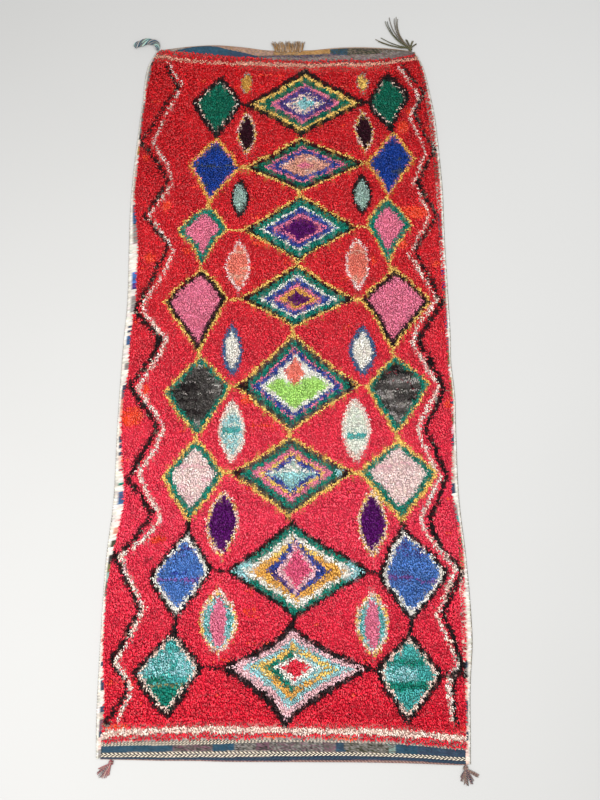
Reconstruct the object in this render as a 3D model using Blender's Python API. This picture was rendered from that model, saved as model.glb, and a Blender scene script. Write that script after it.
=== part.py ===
"""Hand-knotted rag rug, about 1.25 m by 2.82 m, lying flat on a floor.

Metres, +Z up, +Y towards the far end. The origin is the middle of the underside.
The rug is one woven cloth: a lumpy knotted pile with tufts that lean out over its
long sides, and a thin flat-woven band at each end. An overcast selvedge runs down
each long side. Gathered yarn ends lie at the four corners, and a short row of
uncut warp ends lies at the middle of the far end.
"""

import math
from collections import namedtuple

import bmesh
import bpy
from mathutils import Vector, noise

GAP = 0.0003

PILE_TOP = 0.0148
PILE_RIM_TOP = 0.0128
PILE_LUMP = 0.0032
LUMP_PITCH = 0.058
PILE_SWELL = 0.0012
SWELL_PITCH = 0.260
PILE_ROWS = 76
COLUMNS = 24

BAND_THICK = 0.0034
FAR_BAND_ROWS = 3
NEAR_BAND_ROWS = 2
STEP_RUN = 0.0060

SELVEDGE_WIDE = 0.0140
SELVEDGE_TALL = 0.0050
WRAP_SWELL = 0.0005
WRAP_PITCH = 0.085
# Half turns of its section, as shares of its width and of its height.
SELVEDGE_SECTION = ((0, 0), (0, 0.7), (0.16, 1), (0.84, 1), (1, 0.6), (0.94, 0))

LOCK_ROOT_LOW = 0.0064
LOCK_ROOT_INSET = 0.0010
LOCK_REACH = 0.0070
LOCK_REACH_VARIES = 0.0030
LOCK_SLANT = 0.0080
LOCK_SLANT_VARIES = 0.0050
LOCK_DROOP = 0.0012
LOCK_TIP_SHARE = 0.62

KNOT_TALL = 0.0090
KNOT_RADIUS = 0.0110
KNOT_BACK_SHARE = 0.75
KNOT_GAP = 0.0005
FAN_MARGIN = 16
STRAND_TALL = 0.0046
STRAND_TIP = 0.0022
STRAND_STEPS = 5

# The outer edges of the two selvedges, from the far end to the near end.
SideRow = namedtuple("SideRow", "along left right")
SIDES = (
    SideRow(1.400, -0.560, 0.562),
    SideRow(1.310, -0.595, 0.591),
    SideRow(1.155, -0.606, 0.607),
    SideRow(1.010, -0.615, 0.620),
    SideRow(0.775, -0.627, 0.629),
    SideRow(0.590, -0.628, 0.631),
    SideRow(0.245, -0.617, 0.632),
    SideRow(0.080, -0.622, 0.635),
    SideRow(-0.240, -0.625, 0.639),
    SideRow(-0.540, -0.622, 0.636),
    SideRow(-0.750, -0.635, 0.638),
    SideRow(-1.020, -0.636, 0.639),
    SideRow(-1.280, -0.632, 0.630),
    SideRow(-1.400, -0.624, 0.623),
)

# The two ends, from left to right: where the cloth ends, where its pile ends, and
# how far the far band's free edge has curled up off the floor.
EndRow = namedtuple("EndRow", "across far_edge far_pile near_pile near_edge curl")
ENDS = (
    EndRow(-0.630, 1.396, 1.388, -1.350, -1.398, 0.000),
    EndRow(-0.530, 1.407, 1.397, -1.346, -1.400, 0.002),
    EndRow(-0.410, 1.420, 1.386, -1.343, -1.403, 0.006),
    EndRow(-0.300, 1.424, 1.373, -1.341, -1.404, 0.008),
    EndRow(-0.190, 1.416, 1.361, -1.340, -1.407, 0.006),
    EndRow(-0.070, 1.404, 1.352, -1.341, -1.408, 0.000),
    EndRow(0.100, 1.404, 1.341, -1.342, -1.409, 0.000),
    EndRow(0.230, 1.410, 1.347, -1.345, -1.410, 0.008),
    EndRow(0.350, 1.410, 1.347, -1.350, -1.412, 0.010),
    EndRow(0.460, 1.405, 1.354, -1.358, -1.415, 0.007),
    EndRow(0.560, 1.396, 1.372, -1.368, -1.419, 0.001),
    EndRow(0.640, 1.392, 1.382, -1.372, -1.420, 0.000),
)

# One row for each loose yarn end: how far it turns from the way the bunch faces,
# its length, and how much it bends on the way.
StrandRow = namedtuple("StrandRow", "turn length bend")
NEAR_LEFT_STRANDS = (
    StrandRow(13, 0.028, 8),
    StrandRow(25, 0.038, 4),
    StrandRow(36, 0.046, 4),
    StrandRow(47, 0.050, 2),
    StrandRow(58, 0.046, 4),
    StrandRow(69, 0.036, 8),
)
NEAR_RIGHT_STRANDS = (
    StrandRow(-72, 0.038, -14),
    StrandRow(-56, 0.034, 6),
    StrandRow(-34, 0.036, -6),
    StrandRow(-20, 0.041, 4),
    StrandRow(-6, 0.040, -4),
    StrandRow(8, 0.036, 4),
    StrandRow(22, 0.031, -2),
    StrandRow(38, 0.021, 10),
)
FAR_RIGHT_STRANDS = (
    StrandRow(-84, 0.150, -24),
    StrandRow(-57, 0.192, -46),
    StrandRow(-47, 0.176, -52),
    StrandRow(-12, 0.044, 12),
    StrandRow(14, 0.036, -8),
    StrandRow(40, 0.030, -14),
)

# The fat far-left bunch: points of its middle line from its root to its tip, with
# its width and height there. It is twisted like a short rope.
BunchRow = namedtuple("BunchRow", "number across along wide tall")
FAR_LEFT_BUNCH = (
    BunchRow(0, -0.5560, 1.4066, 0.0120, 0.0080),
    BunchRow(1, -0.5540, 1.4180, 0.0200, 0.0130),
    BunchRow(2, -0.5580, 1.4320, 0.0240, 0.0150),
    BunchRow(3, -0.5700, 1.4430, 0.0260, 0.0150),
    BunchRow(4, -0.5880, 1.4480, 0.0280, 0.0150),
    BunchRow(5, -0.6080, 1.4460, 0.0300, 0.0150),
    BunchRow(6, -0.6280, 1.4400, 0.0300, 0.0140),
    BunchRow(7, -0.6450, 1.4310, 0.0270, 0.0120),
    BunchRow(8, -0.6570, 1.4230, 0.0180, 0.0080),
)
BUNCH_PLIES = 3
BUNCH_PLY_DEPTH = 0.20
BUNCH_TWIST = math.radians(330)
BUNCH_SIDES = 12
BUNCH_STEPS = 3

TUFT_LEFT = -0.0440
TUFT_RIGHT = 0.0740
TUFT_STRANDS = 20
TUFT_DEEP = 0.0060
TUFT_TALL = 0.0066
TUFT_LENGTH = 0.0350
TUFT_LENGTH_VARIES = 0.0110
# In degrees: how far the warp ends sway together, fan out, and bend.
TUFT_SWAY = 9
TUFT_FAN = 20
TUFT_BEND = 8

Finish = namedtuple("Finish", "colour roughness")
FINISHES = {
    "pile": Finish((0.56, 0.03, 0.05), 0.90),
    "selvedge": Finish((0.62, 0.57, 0.48), 0.88),
    "corner_yarn": Finish((0.27, 0.19, 0.17), 0.90),
    "grey_yarn": Finish((0.16, 0.19, 0.17), 0.90),
    "warp_yarn": Finish((0.42, 0.27, 0.14), 0.92),
}


def read_table(rows, key, value, at):
    """The table's value at a place between its rows, on one smooth curve."""
    rows = sorted(rows, key=lambda row: getattr(row, key))
    keys = [getattr(row, key) for row in rows]
    values = [getattr(row, value) for row in rows]
    if at <= keys[0]:
        return values[0]
    if at >= keys[-1]:
        return values[-1]
    upper = next(i for i, k in enumerate(keys) if k > at)
    lower = upper - 1

    def slope(i):
        before, after = max(i - 1, 0), min(i + 1, len(keys) - 1)
        return (values[after] - values[before]) / (keys[after] - keys[before])

    run = keys[upper] - keys[lower]
    t = (at - keys[lower]) / run
    ease = t * t * (3 - 2 * t)
    start_pull = run * slope(lower) * t * (1 - t) ** 2
    end_pull = run * slope(upper) * t * t * (1 - t)
    return values[lower] * (1 - ease) + values[upper] * ease + start_pull - end_pull


def ease(t):
    """A smooth step from 0 to 1."""
    t = min(max(t, 0.0), 1.0)
    return t * t * (3 - 2 * t)


def unevenness(across, along, pitch):
    """A smooth unevenness from about -1 to 1, the same on each run."""
    return 2.0 * noise.noise(Vector((across / pitch, along / pitch, 0.5)))


def material(name):
    """The material of that finish, made once."""
    made = bpy.data.materials.get(name)
    if made:
        return made
    made = bpy.data.materials.new(name)
    made.use_nodes = True
    shader = made.node_tree.nodes["Principled BSDF"]
    shader.inputs["Base Color"].default_value = (*FINISHES[name].colour, 1.0)
    shader.inputs["Roughness"].default_value = FINISHES[name].roughness
    shader.inputs["Metallic"].default_value = 0.0
    return made


def finished(name, bm, finish):
    """Turns a bmesh into a named object with its material."""
    bmesh.ops.recalc_face_normals(bm, faces=bm.faces)
    mesh = bpy.data.meshes.new(name)
    bm.to_mesh(mesh)
    bm.free()
    mesh.materials.append(material(finish))
    made = bpy.data.objects.new(name, mesh)
    bpy.context.scene.collection.objects.link(made)
    return made


def add_ring(bm, points):
    """One ring of vertices."""
    return [bm.verts.new(point) for point in points]


def join_rings(bm, ring, following):
    """Quads between two rings of the same length."""
    count = len(ring)
    for i in range(count):
        j = (i + 1) % count
        bm.faces.new((ring[i], ring[j], following[j], following[i]))


def loft(bm, rings):
    """A closed body through rings of points, capped at both ends."""
    made = [add_ring(bm, points) for points in rings]
    for ring, following in zip(made, made[1:]):
        join_rings(bm, ring, following)
    bm.faces.new(made[0])
    bm.faces.new(made[-1])


def place_in_width(share, along_there):
    """The place at a share of the cloth's width, on a line that runs across it.

    along_there gives how far along that line is at a place across."""
    across = 0.0
    for _ in range(5):
        along = along_there(across)
        left = read_table(SIDES, "along", "left", along) + SELVEDGE_WIDE
        right = read_table(SIDES, "along", "right", along) - SELVEDGE_WIDE
        across = left + (right - left) * share
    return across, along


def pile_height(across, along, rim_share):
    """The pile's height, lumpy inside and a little lower at its rim."""
    inner = PILE_TOP + PILE_LUMP * unevenness(across, along, LUMP_PITCH)
    inner += PILE_SWELL * unevenness(across, along, SWELL_PITCH)
    rim = PILE_RIM_TOP + 0.3 * PILE_LUMP * unevenness(along, across, LUMP_PITCH)
    return rim + (inner - rim) * ease(rim_share)


def between(start, end, share, inset=0.0):
    """A line across the cloth, at a share of the way between two of the end table's
    columns, with both of them drawn in by the inset first."""

    def along_there(across):
        first = read_table(ENDS, "across", start, across) + inset
        second = read_table(ENDS, "across", end, across) - inset
        return first + (second - first) * share

    return along_there


def band_row(pile_edge, free_edge, share_out):
    """A row of points on an end band, from its pile (0) to its free edge (1)."""
    line = between(pile_edge, free_edge, share_out)
    row = []
    for column in range(COLUMNS + 1):
        across, along = place_in_width(column / COLUMNS, line)
        lift = 0.0
        if free_edge == "far_edge":
            lift = max(read_table(ENDS, "across", "curl", across), 0.0) * ease(share_out)
        row.append(Vector((across, along, BAND_THICK + lift)))
    return row


def pile_row(step):
    """A row of points on the pile, from the far end (0) to the near end."""
    line = between("near_pile", "far_pile", 1.0 - step / PILE_ROWS, STEP_RUN)
    steps_in = min(step, PILE_ROWS - step)
    row = []
    for column in range(COLUMNS + 1):
        across, along = place_in_width(column / COLUMNS, line)
        columns_in = min(column, COLUMNS - column)
        height = pile_height(across, along, min(steps_in, columns_in))
        row.append(Vector((across, along, height)))
    return row


def top_rows():
    """Rows of points on the upper side, from the far edge to the near edge, and
    which of them are pile."""
    far = [band_row("far_pile", "far_edge", i / FAR_BAND_ROWS) for i in range(FAR_BAND_ROWS, -1, -1)]
    pile = [pile_row(step) for step in range(PILE_ROWS + 1)]
    near = [band_row("near_pile", "near_edge", i / NEAR_BAND_ROWS) for i in range(NEAR_BAND_ROWS + 1)]
    is_pile = [False] * len(far) + [True] * len(pile) + [False] * len(near)
    return far + pile + near, is_pile


def side_wall(bm, top, middle, bottom, is_pile):
    """The wall down one long side. It returns the upper faces along the pile."""
    roots = []
    for i in range(len(top) - 1):
        j = i + 1
        if is_pile[i] and is_pile[j]:
            roots.append(bm.faces.new((top[i], top[j], middle[j], middle[i])))
            bm.faces.new((middle[i], middle[j], bottom[j], bottom[i]))
        elif is_pile[j]:
            bm.faces.new((top[i], top[j], middle[j], bottom[j], bottom[i]))
        elif is_pile[i]:
            bm.faces.new((top[i], top[j], bottom[j], bottom[i], middle[i]))
        else:
            bm.faces.new((top[i], top[j], bottom[j], bottom[i]))
    return roots


def grow_locks(bm, roots, outward):
    """Tufts that lean out over the selvedge and towards the near end, one from each
    root face."""
    bmesh.ops.inset_individual(bm, faces=roots, thickness=LOCK_ROOT_INSET)
    for face in bmesh.ops.extrude_discrete_faces(bm, faces=roots)["faces"]:
        middle = face.calc_center_median()
        reach = LOCK_REACH + LOCK_REACH_VARIES * unevenness(middle.y, outward, 0.031)
        slant = LOCK_SLANT + LOCK_SLANT_VARIES * unevenness(middle.y, outward + 3.0, 0.047)
        shift = Vector((outward * reach, -slant, -LOCK_DROOP))
        for vert in face.verts:
            vert.co = middle + (vert.co - middle) * LOCK_TIP_SHARE + shift


def build_rug(rows, is_pile):
    """The cloth: one closed solid with its pile, its end bands and its rim tufts."""
    bm = bmesh.new()
    top = [add_ring(bm, row) for row in rows]
    last = COLUMNS
    for upper, lower in zip(top, top[1:]):
        for j in range(last):
            bm.faces.new((upper[j], upper[j + 1], lower[j + 1], lower[j]))

    def below(vert):
        return bm.verts.new((vert.co.x, vert.co.y, max(vert.co.z - BAND_THICK, 0.0)))

    def on_floor(vert):
        return bm.verts.new((vert.co.x, vert.co.y, 0.0))

    far_under = [[below(vert) for vert in row] for row in top[:FAR_BAND_ROWS]]
    far_under.append([on_floor(vert) for vert in top[FAR_BAND_ROWS]])
    near_under = [on_floor(vert) for vert in top[-1]]
    for upper, lower in zip(far_under, far_under[1:]):
        for j in range(last):
            bm.faces.new((upper[j], lower[j], lower[j + 1], upper[j + 1]))
    for edge_top, edge_under in ((top[0], far_under[0]), (top[-1], near_under)):
        for j in range(last):
            bm.faces.new((edge_top[j], edge_top[j + 1], edge_under[j + 1], edge_under[j]))

    flat_rim = []
    for column, outward in ((0, -1.0), (last, 1.0)):
        side_top = [row[column] for row in top]
        side_bottom = [row[column] for row in far_under]
        side_bottom += [on_floor(row[column]) for row in top[FAR_BAND_ROWS + 1 : -1]]
        side_bottom.append(near_under[column])
        side_middle = [
            bm.verts.new((vert.co.x, vert.co.y, LOCK_ROOT_LOW)) if pile else None
            for vert, pile in zip(side_top, is_pile)
        ]
        roots = side_wall(bm, side_top, side_middle, side_bottom, is_pile)
        grow_locks(bm, roots, outward)
        flat_rim.append(side_bottom[FAR_BAND_ROWS + 1 : -1])
    underside = list(far_under[-1]) + flat_rim[1] + near_under[::-1] + flat_rim[0][::-1]
    bm.faces.new(underside)
    return finished("rug", bm, "pile")


def build_selvedge(name, cloth_edge, outward):
    """The overcast edge down one long side, a low rounded bar beside the cloth."""
    wide = SELVEDGE_WIDE - GAP
    rings = []
    for point in cloth_edge:
        tall = SELVEDGE_TALL + WRAP_SWELL * unevenness(point.y, outward, WRAP_PITCH)
        rings.append([
            (point.x + outward * (GAP + wide * across), point.y, tall * height)
            for across, height in SELVEDGE_SECTION
        ])
    bm = bmesh.new()
    loft(bm, rings)
    return finished(name, bm, "selvedge")


def strand(bm, root, heading, row, shrink=1.0):
    """One loose yarn end, of four sides, that lies level on the floor.

    root is its first ring: low left, low right, high right, high left, seen from
    its tip. heading is the way it starts, in radians."""
    low_left, low_right = root[0].co, root[1].co
    place = (low_left + low_right) / 2
    place.z = 0.0
    root_wide = (low_right - low_left).length
    turn = math.radians(row.bend) / STRAND_STEPS
    angle = heading - turn / 2
    ring = list(root)
    for step in range(1, STRAND_STEPS + 1):
        share = step / STRAND_STEPS
        angle += turn
        place = place + Vector((math.cos(angle), math.sin(angle), 0)) * row.length / STRAND_STEPS
        wide = (root_wide * (1 - share) * 0.9 + STRAND_TIP * share) * shrink
        wide = min(wide, root_wide)
        tall = STRAND_TALL * (1 - share) + STRAND_TIP * share
        half = Vector((-math.sin(angle), math.cos(angle), 0)) * wide / 2
        up = Vector((0, 0, tall))
        following = add_ring(bm, (place + half, place - half, place - half + up, place + half + up))
        join_rings(bm, ring, following)
        ring = following
    bm.faces.new(ring)


def strand_block(bm, front, back, headings, rows, tall):
    """A low block of gathered yarn with a strand from each facet of its front.

    front and back are points on the floor: the front from the left to the right
    as its strands see it from outside, and the back behind it."""
    outline = front + back
    middle = sum((Vector(p) for p in outline), Vector((0, 0, 0))) / len(outline)
    floor_ring = add_ring(bm, outline)
    up = Vector((0, 0, STRAND_TALL))
    waist = add_ring(bm, [Vector(p) + up for p in outline])
    crown = []
    for point in outline:
        drawn = middle + (Vector(point) - middle) * 0.6
        drawn.z = tall
        crown.append(bm.verts.new(drawn))
    bm.faces.new(floor_ring)
    bm.faces.new(crown)
    join_rings(bm, waist, crown)
    facets = len(front) - 1
    count = len(outline)
    for i in range(count):
        j = (i + 1) % count
        root = (floor_ring[i], floor_ring[j], waist[j], waist[i])
        if i < facets:
            strand(bm, root, headings[i], rows[i])
        else:
            bm.faces.new(root)


def edge_at(edge, across):
    """How far along the cloth's end lies, on the straight runs between its points."""
    for point, following in zip(edge, edge[1:]):
        if point.x <= across <= following.x:
            share = (across - point.x) / (following.x - point.x)
            return point.y + (following.y - point.y) * share
    return edge[0].y if across < edge[0].x else edge[-1].y


def build_corner_tassel(name, across, edge, outward, rows, finish):
    """A knot beside an end of the cloth with loose yarn ends fanned out from it.

    edge is the cloth's last row of points there, and outward 1 or -1 along Y."""
    facing = outward * math.pi / 2
    half_back = KNOT_RADIUS * KNOT_BACK_SHARE
    clear = max(outward * edge_at(edge, across + side * half_back) for side in (-1, 1))
    along = outward * (clear + KNOT_GAP)
    centre = Vector((across, along + outward * KNOT_RADIUS, 0))
    first = facing - math.radians(rows[0].turn - FAN_MARGIN)
    last = facing - math.radians(rows[-1].turn + FAN_MARGIN)
    count = len(rows)
    front = []
    for i in range(count + 1):
        angle = first + (last - first) * i / count
        front.append(centre + Vector((math.cos(angle), math.sin(angle), 0)) * KNOT_RADIUS)
    back = [Vector((across + side * outward * half_back, along, 0)) for side in (1, -1)]
    headings = [facing - math.radians(row.turn) for row in rows]
    bm = bmesh.new()
    strand_block(bm, front, back, headings, rows, KNOT_TALL)
    return finished(name, bm, finish)


def build_bunch():
    """The fat far-left bunch: three plies twisted together, thinner at both ends."""
    last = FAR_LEFT_BUNCH[-1].number
    count = last * BUNCH_STEPS

    def at(place, value):
        return read_table(FAR_LEFT_BUNCH, "number", value, place)

    rings = []
    for step in range(count + 1):
        place = step / BUNCH_STEPS
        before, after = max(place - 0.05, 0.0), min(place + 0.05, last)
        heading = math.atan2(
            at(after, "along") - at(before, "along"), at(after, "across") - at(before, "across")
        )
        twist = BUNCH_TWIST * step / count
        ring = []
        for k in range(BUNCH_SIDES):
            angle = 2 * math.pi * k / BUNCH_SIDES
            lobe = 1.0 - BUNCH_PLY_DEPTH + BUNCH_PLY_DEPTH * math.cos(BUNCH_PLIES * (angle - twist))
            sideways = lobe * math.cos(angle) * at(place, "wide") / 2
            height = lobe * math.sin(angle) * at(place, "tall") / 2
            across = at(place, "across") - math.sin(heading) * sideways
            along = at(place, "along") + math.cos(heading) * sideways
            ring.append(Vector((across, along, height)))
        lowest = min(point.z for point in ring)
        rings.append([point - Vector((0, 0, lowest)) for point in ring])
    bm = bmesh.new()
    loft(bm, rings)
    return finished("tassel_far_left", bm, "grey_yarn")


def build_warp_tuft(edge):
    """The row of uncut warp ends beyond the middle of the far edge."""
    ends = (TUFT_LEFT, TUFT_RIGHT)
    along = max(max(edge_at(edge, across) for across in ends), edge_at(edge, sum(ends) / 2))
    back = [Vector((across, along + KNOT_GAP, 0)) for across in reversed(ends)]
    front = []
    for i in range(TUFT_STRANDS + 1):
        across = TUFT_LEFT + (TUFT_RIGHT - TUFT_LEFT) * i / TUFT_STRANDS
        front.append(Vector((across, along + KNOT_GAP + TUFT_DEEP, 0)))
    rows = []
    headings = []
    for i in range(TUFT_STRANDS):
        length = TUFT_LENGTH + TUFT_LENGTH_VARIES * unevenness(i * 0.7, 2.0, 1.0)
        sway = TUFT_SWAY * unevenness(i * 0.22, 7.0, 1.0)
        lean = sway + TUFT_FAN * (i / TUFT_STRANDS - 0.5)
        rows.append(StrandRow(0, length, TUFT_BEND))
        headings.append(math.radians(90 - lean))
    bm = bmesh.new()
    strand_block(bm, front, back, headings, rows, TUFT_TALL)
    return finished("warp_tuft", bm, "warp_yarn")


def build_all():
    """Clears the scene and builds each piece."""
    for old in list(bpy.data.objects):
        bpy.data.objects.remove(old)
    rows, is_pile = top_rows()
    build_rug(rows, is_pile)
    build_selvedge("selvedge_left", [row[0] for row in rows], -1.0)
    build_selvedge("selvedge_right", [row[-1] for row in rows], 1.0)
    far, near = rows[0], rows[-1]
    build_corner_tassel("tassel_near_left", -0.574, near, -1.0, NEAR_LEFT_STRANDS, "corner_yarn")
    build_corner_tassel("tassel_near_right", 0.604, near, -1.0, NEAR_RIGHT_STRANDS, "corner_yarn")
    build_corner_tassel("tassel_far_right", 0.542, far, 1.0, FAR_RIGHT_STRANDS, "grey_yarn")
    build_bunch()
    build_warp_tuft(far)


build_all()
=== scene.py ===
"""Looks of a hand-knotted rag rug that lies flat on a floor.

Metres, +Z up, +Y towards the far end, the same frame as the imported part. The rug
is dressed with its knotted pile, the ground cloth with its flat-woven ends, twined
rows, overcast selvedges, corner yarns and a row of uncut warp ends.
"""

import logging
import math
from dataclasses import dataclass, field, fields
from enum import Enum
from typing import Callable, Iterable, Sequence

import bpy
import numpy as np
from mathutils import Matrix, Vector, noise


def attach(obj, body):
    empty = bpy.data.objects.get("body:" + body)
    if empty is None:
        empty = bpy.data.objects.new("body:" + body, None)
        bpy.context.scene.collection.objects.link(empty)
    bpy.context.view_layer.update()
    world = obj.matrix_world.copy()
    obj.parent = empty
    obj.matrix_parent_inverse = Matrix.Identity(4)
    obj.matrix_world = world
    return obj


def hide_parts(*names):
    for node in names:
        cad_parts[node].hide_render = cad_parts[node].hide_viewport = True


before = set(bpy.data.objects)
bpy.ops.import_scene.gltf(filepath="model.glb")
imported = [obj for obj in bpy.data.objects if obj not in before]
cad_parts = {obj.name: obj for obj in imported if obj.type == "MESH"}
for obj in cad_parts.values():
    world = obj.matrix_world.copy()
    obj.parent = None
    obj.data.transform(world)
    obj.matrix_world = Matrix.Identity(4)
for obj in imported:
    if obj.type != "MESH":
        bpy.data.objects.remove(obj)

log = logging.getLogger("rug")
BODY = "root"
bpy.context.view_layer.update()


@dataclass(frozen=True)
class Yarn:
    """The dyed colour of a yarn, in sRGB from 0 to 255, and how much it varies."""

    red: int
    green: int
    blue: int
    spread: float = 0.16

    def linear(self) -> np.ndarray:
        """The colour as three linear values."""
        share = np.array((self.red, self.green, self.blue)) / 255.0
        return np.where(share <= 0.04045, share / 12.92, ((share + 0.055) / 1.055) ** 2.4)


class Dye(Enum):
    """The dyed yarns of the pile and of the flat-woven ends."""

    CRIMSON = Yarn(214, 40, 54, 0.18)
    VERMILION = Yarn(246, 70, 36, 0.12)
    MAROON = Yarn(128, 26, 38, 0.18)
    BLACK = Yarn(30, 22, 24, 0.36)
    CHARCOAL = Yarn(72, 68, 66, 0.40)
    YELLOW = Yarn(236, 190, 96, 0.15)
    MUSTARD = Yarn(204, 150, 62, 0.16)
    ORANGE = Yarn(230, 168, 74, 0.15)
    OLIVE = Yarn(120, 116, 76, 0.18)
    LIME = Yarn(164, 212, 106, 0.12)
    GREEN = Yarn(0, 102, 80, 0.24)
    TEAL_GREEN = Yarn(6, 120, 102, 0.26)
    TEAL = Yarn(66, 162, 158, 0.20)
    AQUA = Yarn(146, 198, 202, 0.16)
    SAGE = Yarn(150, 178, 168, 0.15)
    PALE_SAGE = Yarn(222, 226, 212, 0.10)
    ROYAL_BLUE = Yarn(16, 58, 144, 0.26)
    BLUE = Yarn(44, 66, 146, 0.22)
    SKY_BLUE = Yarn(70, 114, 184, 0.18)
    STEEL_BLUE = Yarn(62, 94, 134, 0.20)
    VIOLET = Yarn(72, 56, 124, 0.22)
    PURPLE = Yarn(84, 8, 96, 0.22)
    AUBERGINE = Yarn(44, 2, 22, 0.28)
    PINK = Yarn(226, 116, 146, 0.15)
    HOT_PINK = Yarn(232, 88, 130, 0.14)
    PALE_PINK = Yarn(238, 186, 192, 0.13)
    BLUSH = Yarn(240, 208, 204, 0.12)
    SALMON = Yarn(230, 116, 98, 0.14)
    PEACH = Yarn(222, 158, 136, 0.14)
    CREAM = Yarn(242, 206, 192, 0.13)
    WHITE = Yarn(236, 230, 220, 0.12)
    GREY = Yarn(150, 144, 140, 0.16)
    SLATE = Yarn(58, 86, 104, 0.14)
    NAVY = Yarn(60, 72, 94, 0.16)
    PEPPER = Yarn(112, 108, 102, 0.26)
    MAUVE = Yarn(126, 92, 104, 0.18)
    BEIGE = Yarn(206, 188, 174, 0.14)
    TAUPE = Yarn(134, 116, 102, 0.16)
    TAN = Yarn(186, 146, 98, 0.16)
    ROSE = Yarn(168, 84, 92, 0.18)
    ROSE_BEIGE = Yarn(178, 142, 132, 0.16)
    DEEP_TEAL = Yarn(44, 82, 104, 0.18)
    DARK_OLIVE = Yarn(72, 74, 56, 0.34)
    GOLD = Yarn(178, 134, 78, 0.18)
    HATCH_CREAM = Yarn(228, 216, 194, 0.10)
    LILAC = Yarn(112, 78, 150, 0.16)

DYES = list(Dye)
NUMBER = {dye: i for i, dye in enumerate(DYES)}
DYE_COLOURS = np.array([dye.value.linear() for dye in DYES])
DYE_SPREADS = np.array([dye.value.spread for dye in DYES])


def smooth(t: np.ndarray) -> np.ndarray:
    """A smooth step from 0 to 1."""
    t = np.clip(t, 0.0, 1.0)
    return t * t * (3 - 2 * t)


class SmoothTable:
    """A table read between its rows on one smooth curve."""

    def __init__(self, keys: Sequence[float], values: Sequence[float]) -> None:
        """Sorts the rows and works out the slope at each.

        Args:
            keys: Where each row is.
            values: What each row says.
        """
        order = np.argsort(keys)
        self.keys = np.asarray(keys, float)[order]
        self.values = np.asarray(values, float)[order]
        before = np.maximum(np.arange(len(keys)) - 1, 0)
        after = np.minimum(np.arange(len(keys)) + 1, len(keys) - 1)
        rise = self.values[after] - self.values[before]
        self.slopes = rise / (self.keys[after] - self.keys[before])

    def __call__(self, at: np.ndarray) -> np.ndarray:
        """Reads the table.

        Args:
            at: Places between the rows.

        Returns:
            The value at each place, held past the first and last rows.
        """
        at = np.clip(at, self.keys[0], self.keys[-1])
        upper = np.clip(np.searchsorted(self.keys, at, side="right"), 1, len(self.keys) - 1)
        lower = upper - 1
        run = self.keys[upper] - self.keys[lower]
        t = (at - self.keys[lower]) / run
        ease = t * t * (3 - 2 * t)
        level = self.values[lower] * (1 - ease) + self.values[upper] * ease
        pull = self.slopes[lower] * t * (1 - t) ** 2 - self.slopes[upper] * t * t * (1 - t)
        return level + run * pull


def smooth_columns(rows: Sequence[Sequence[float]]) -> list[SmoothTable]:
    """Smooth tables of all columns but the first, which says where each row is."""
    places, *columns = zip(*rows)
    return [SmoothTable(places, column) for column in columns]


class Unevenness:
    """A smooth unevenness over the floor, from -1 to 1, the same on each run."""

    LATTICE = 64

    def __init__(self, seed: int, across: float, along: float) -> None:
        """Draws the lattice.

        Args:
            seed: Which unevenness.
            across: How wide its swells are.
            along: How long its swells are.
        """
        self.across = across
        self.along = along
        self.values = np.random.default_rng(seed).uniform(-1, 1, (self.LATTICE, self.LATTICE))

    def __call__(self, x: np.ndarray, y: np.ndarray) -> np.ndarray:
        """Reads the unevenness.

        Args:
            x: Places across.
            y: Places along.

        Returns:
            The unevenness at each place.
        """
        column = np.asarray(x, float) / self.across + self.LATTICE / 2
        row = np.asarray(y, float) / self.along + self.LATTICE / 2
        i = np.floor(column).astype(int)
        j = np.floor(row).astype(int)
        s = smooth(column - i)
        t = smooth(row - j)
        i, j = i % self.LATTICE, j % self.LATTICE
        i2, j2 = (i + 1) % self.LATTICE, (j + 1) % self.LATTICE
        low = self.values[i, j] * (1 - s) + self.values[i2, j] * s
        high = self.values[i, j2] * (1 - s) + self.values[i2, j2] * s
        return low * (1 - t) + high * t


Rows = tuple[tuple[float, ...], ...]


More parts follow.
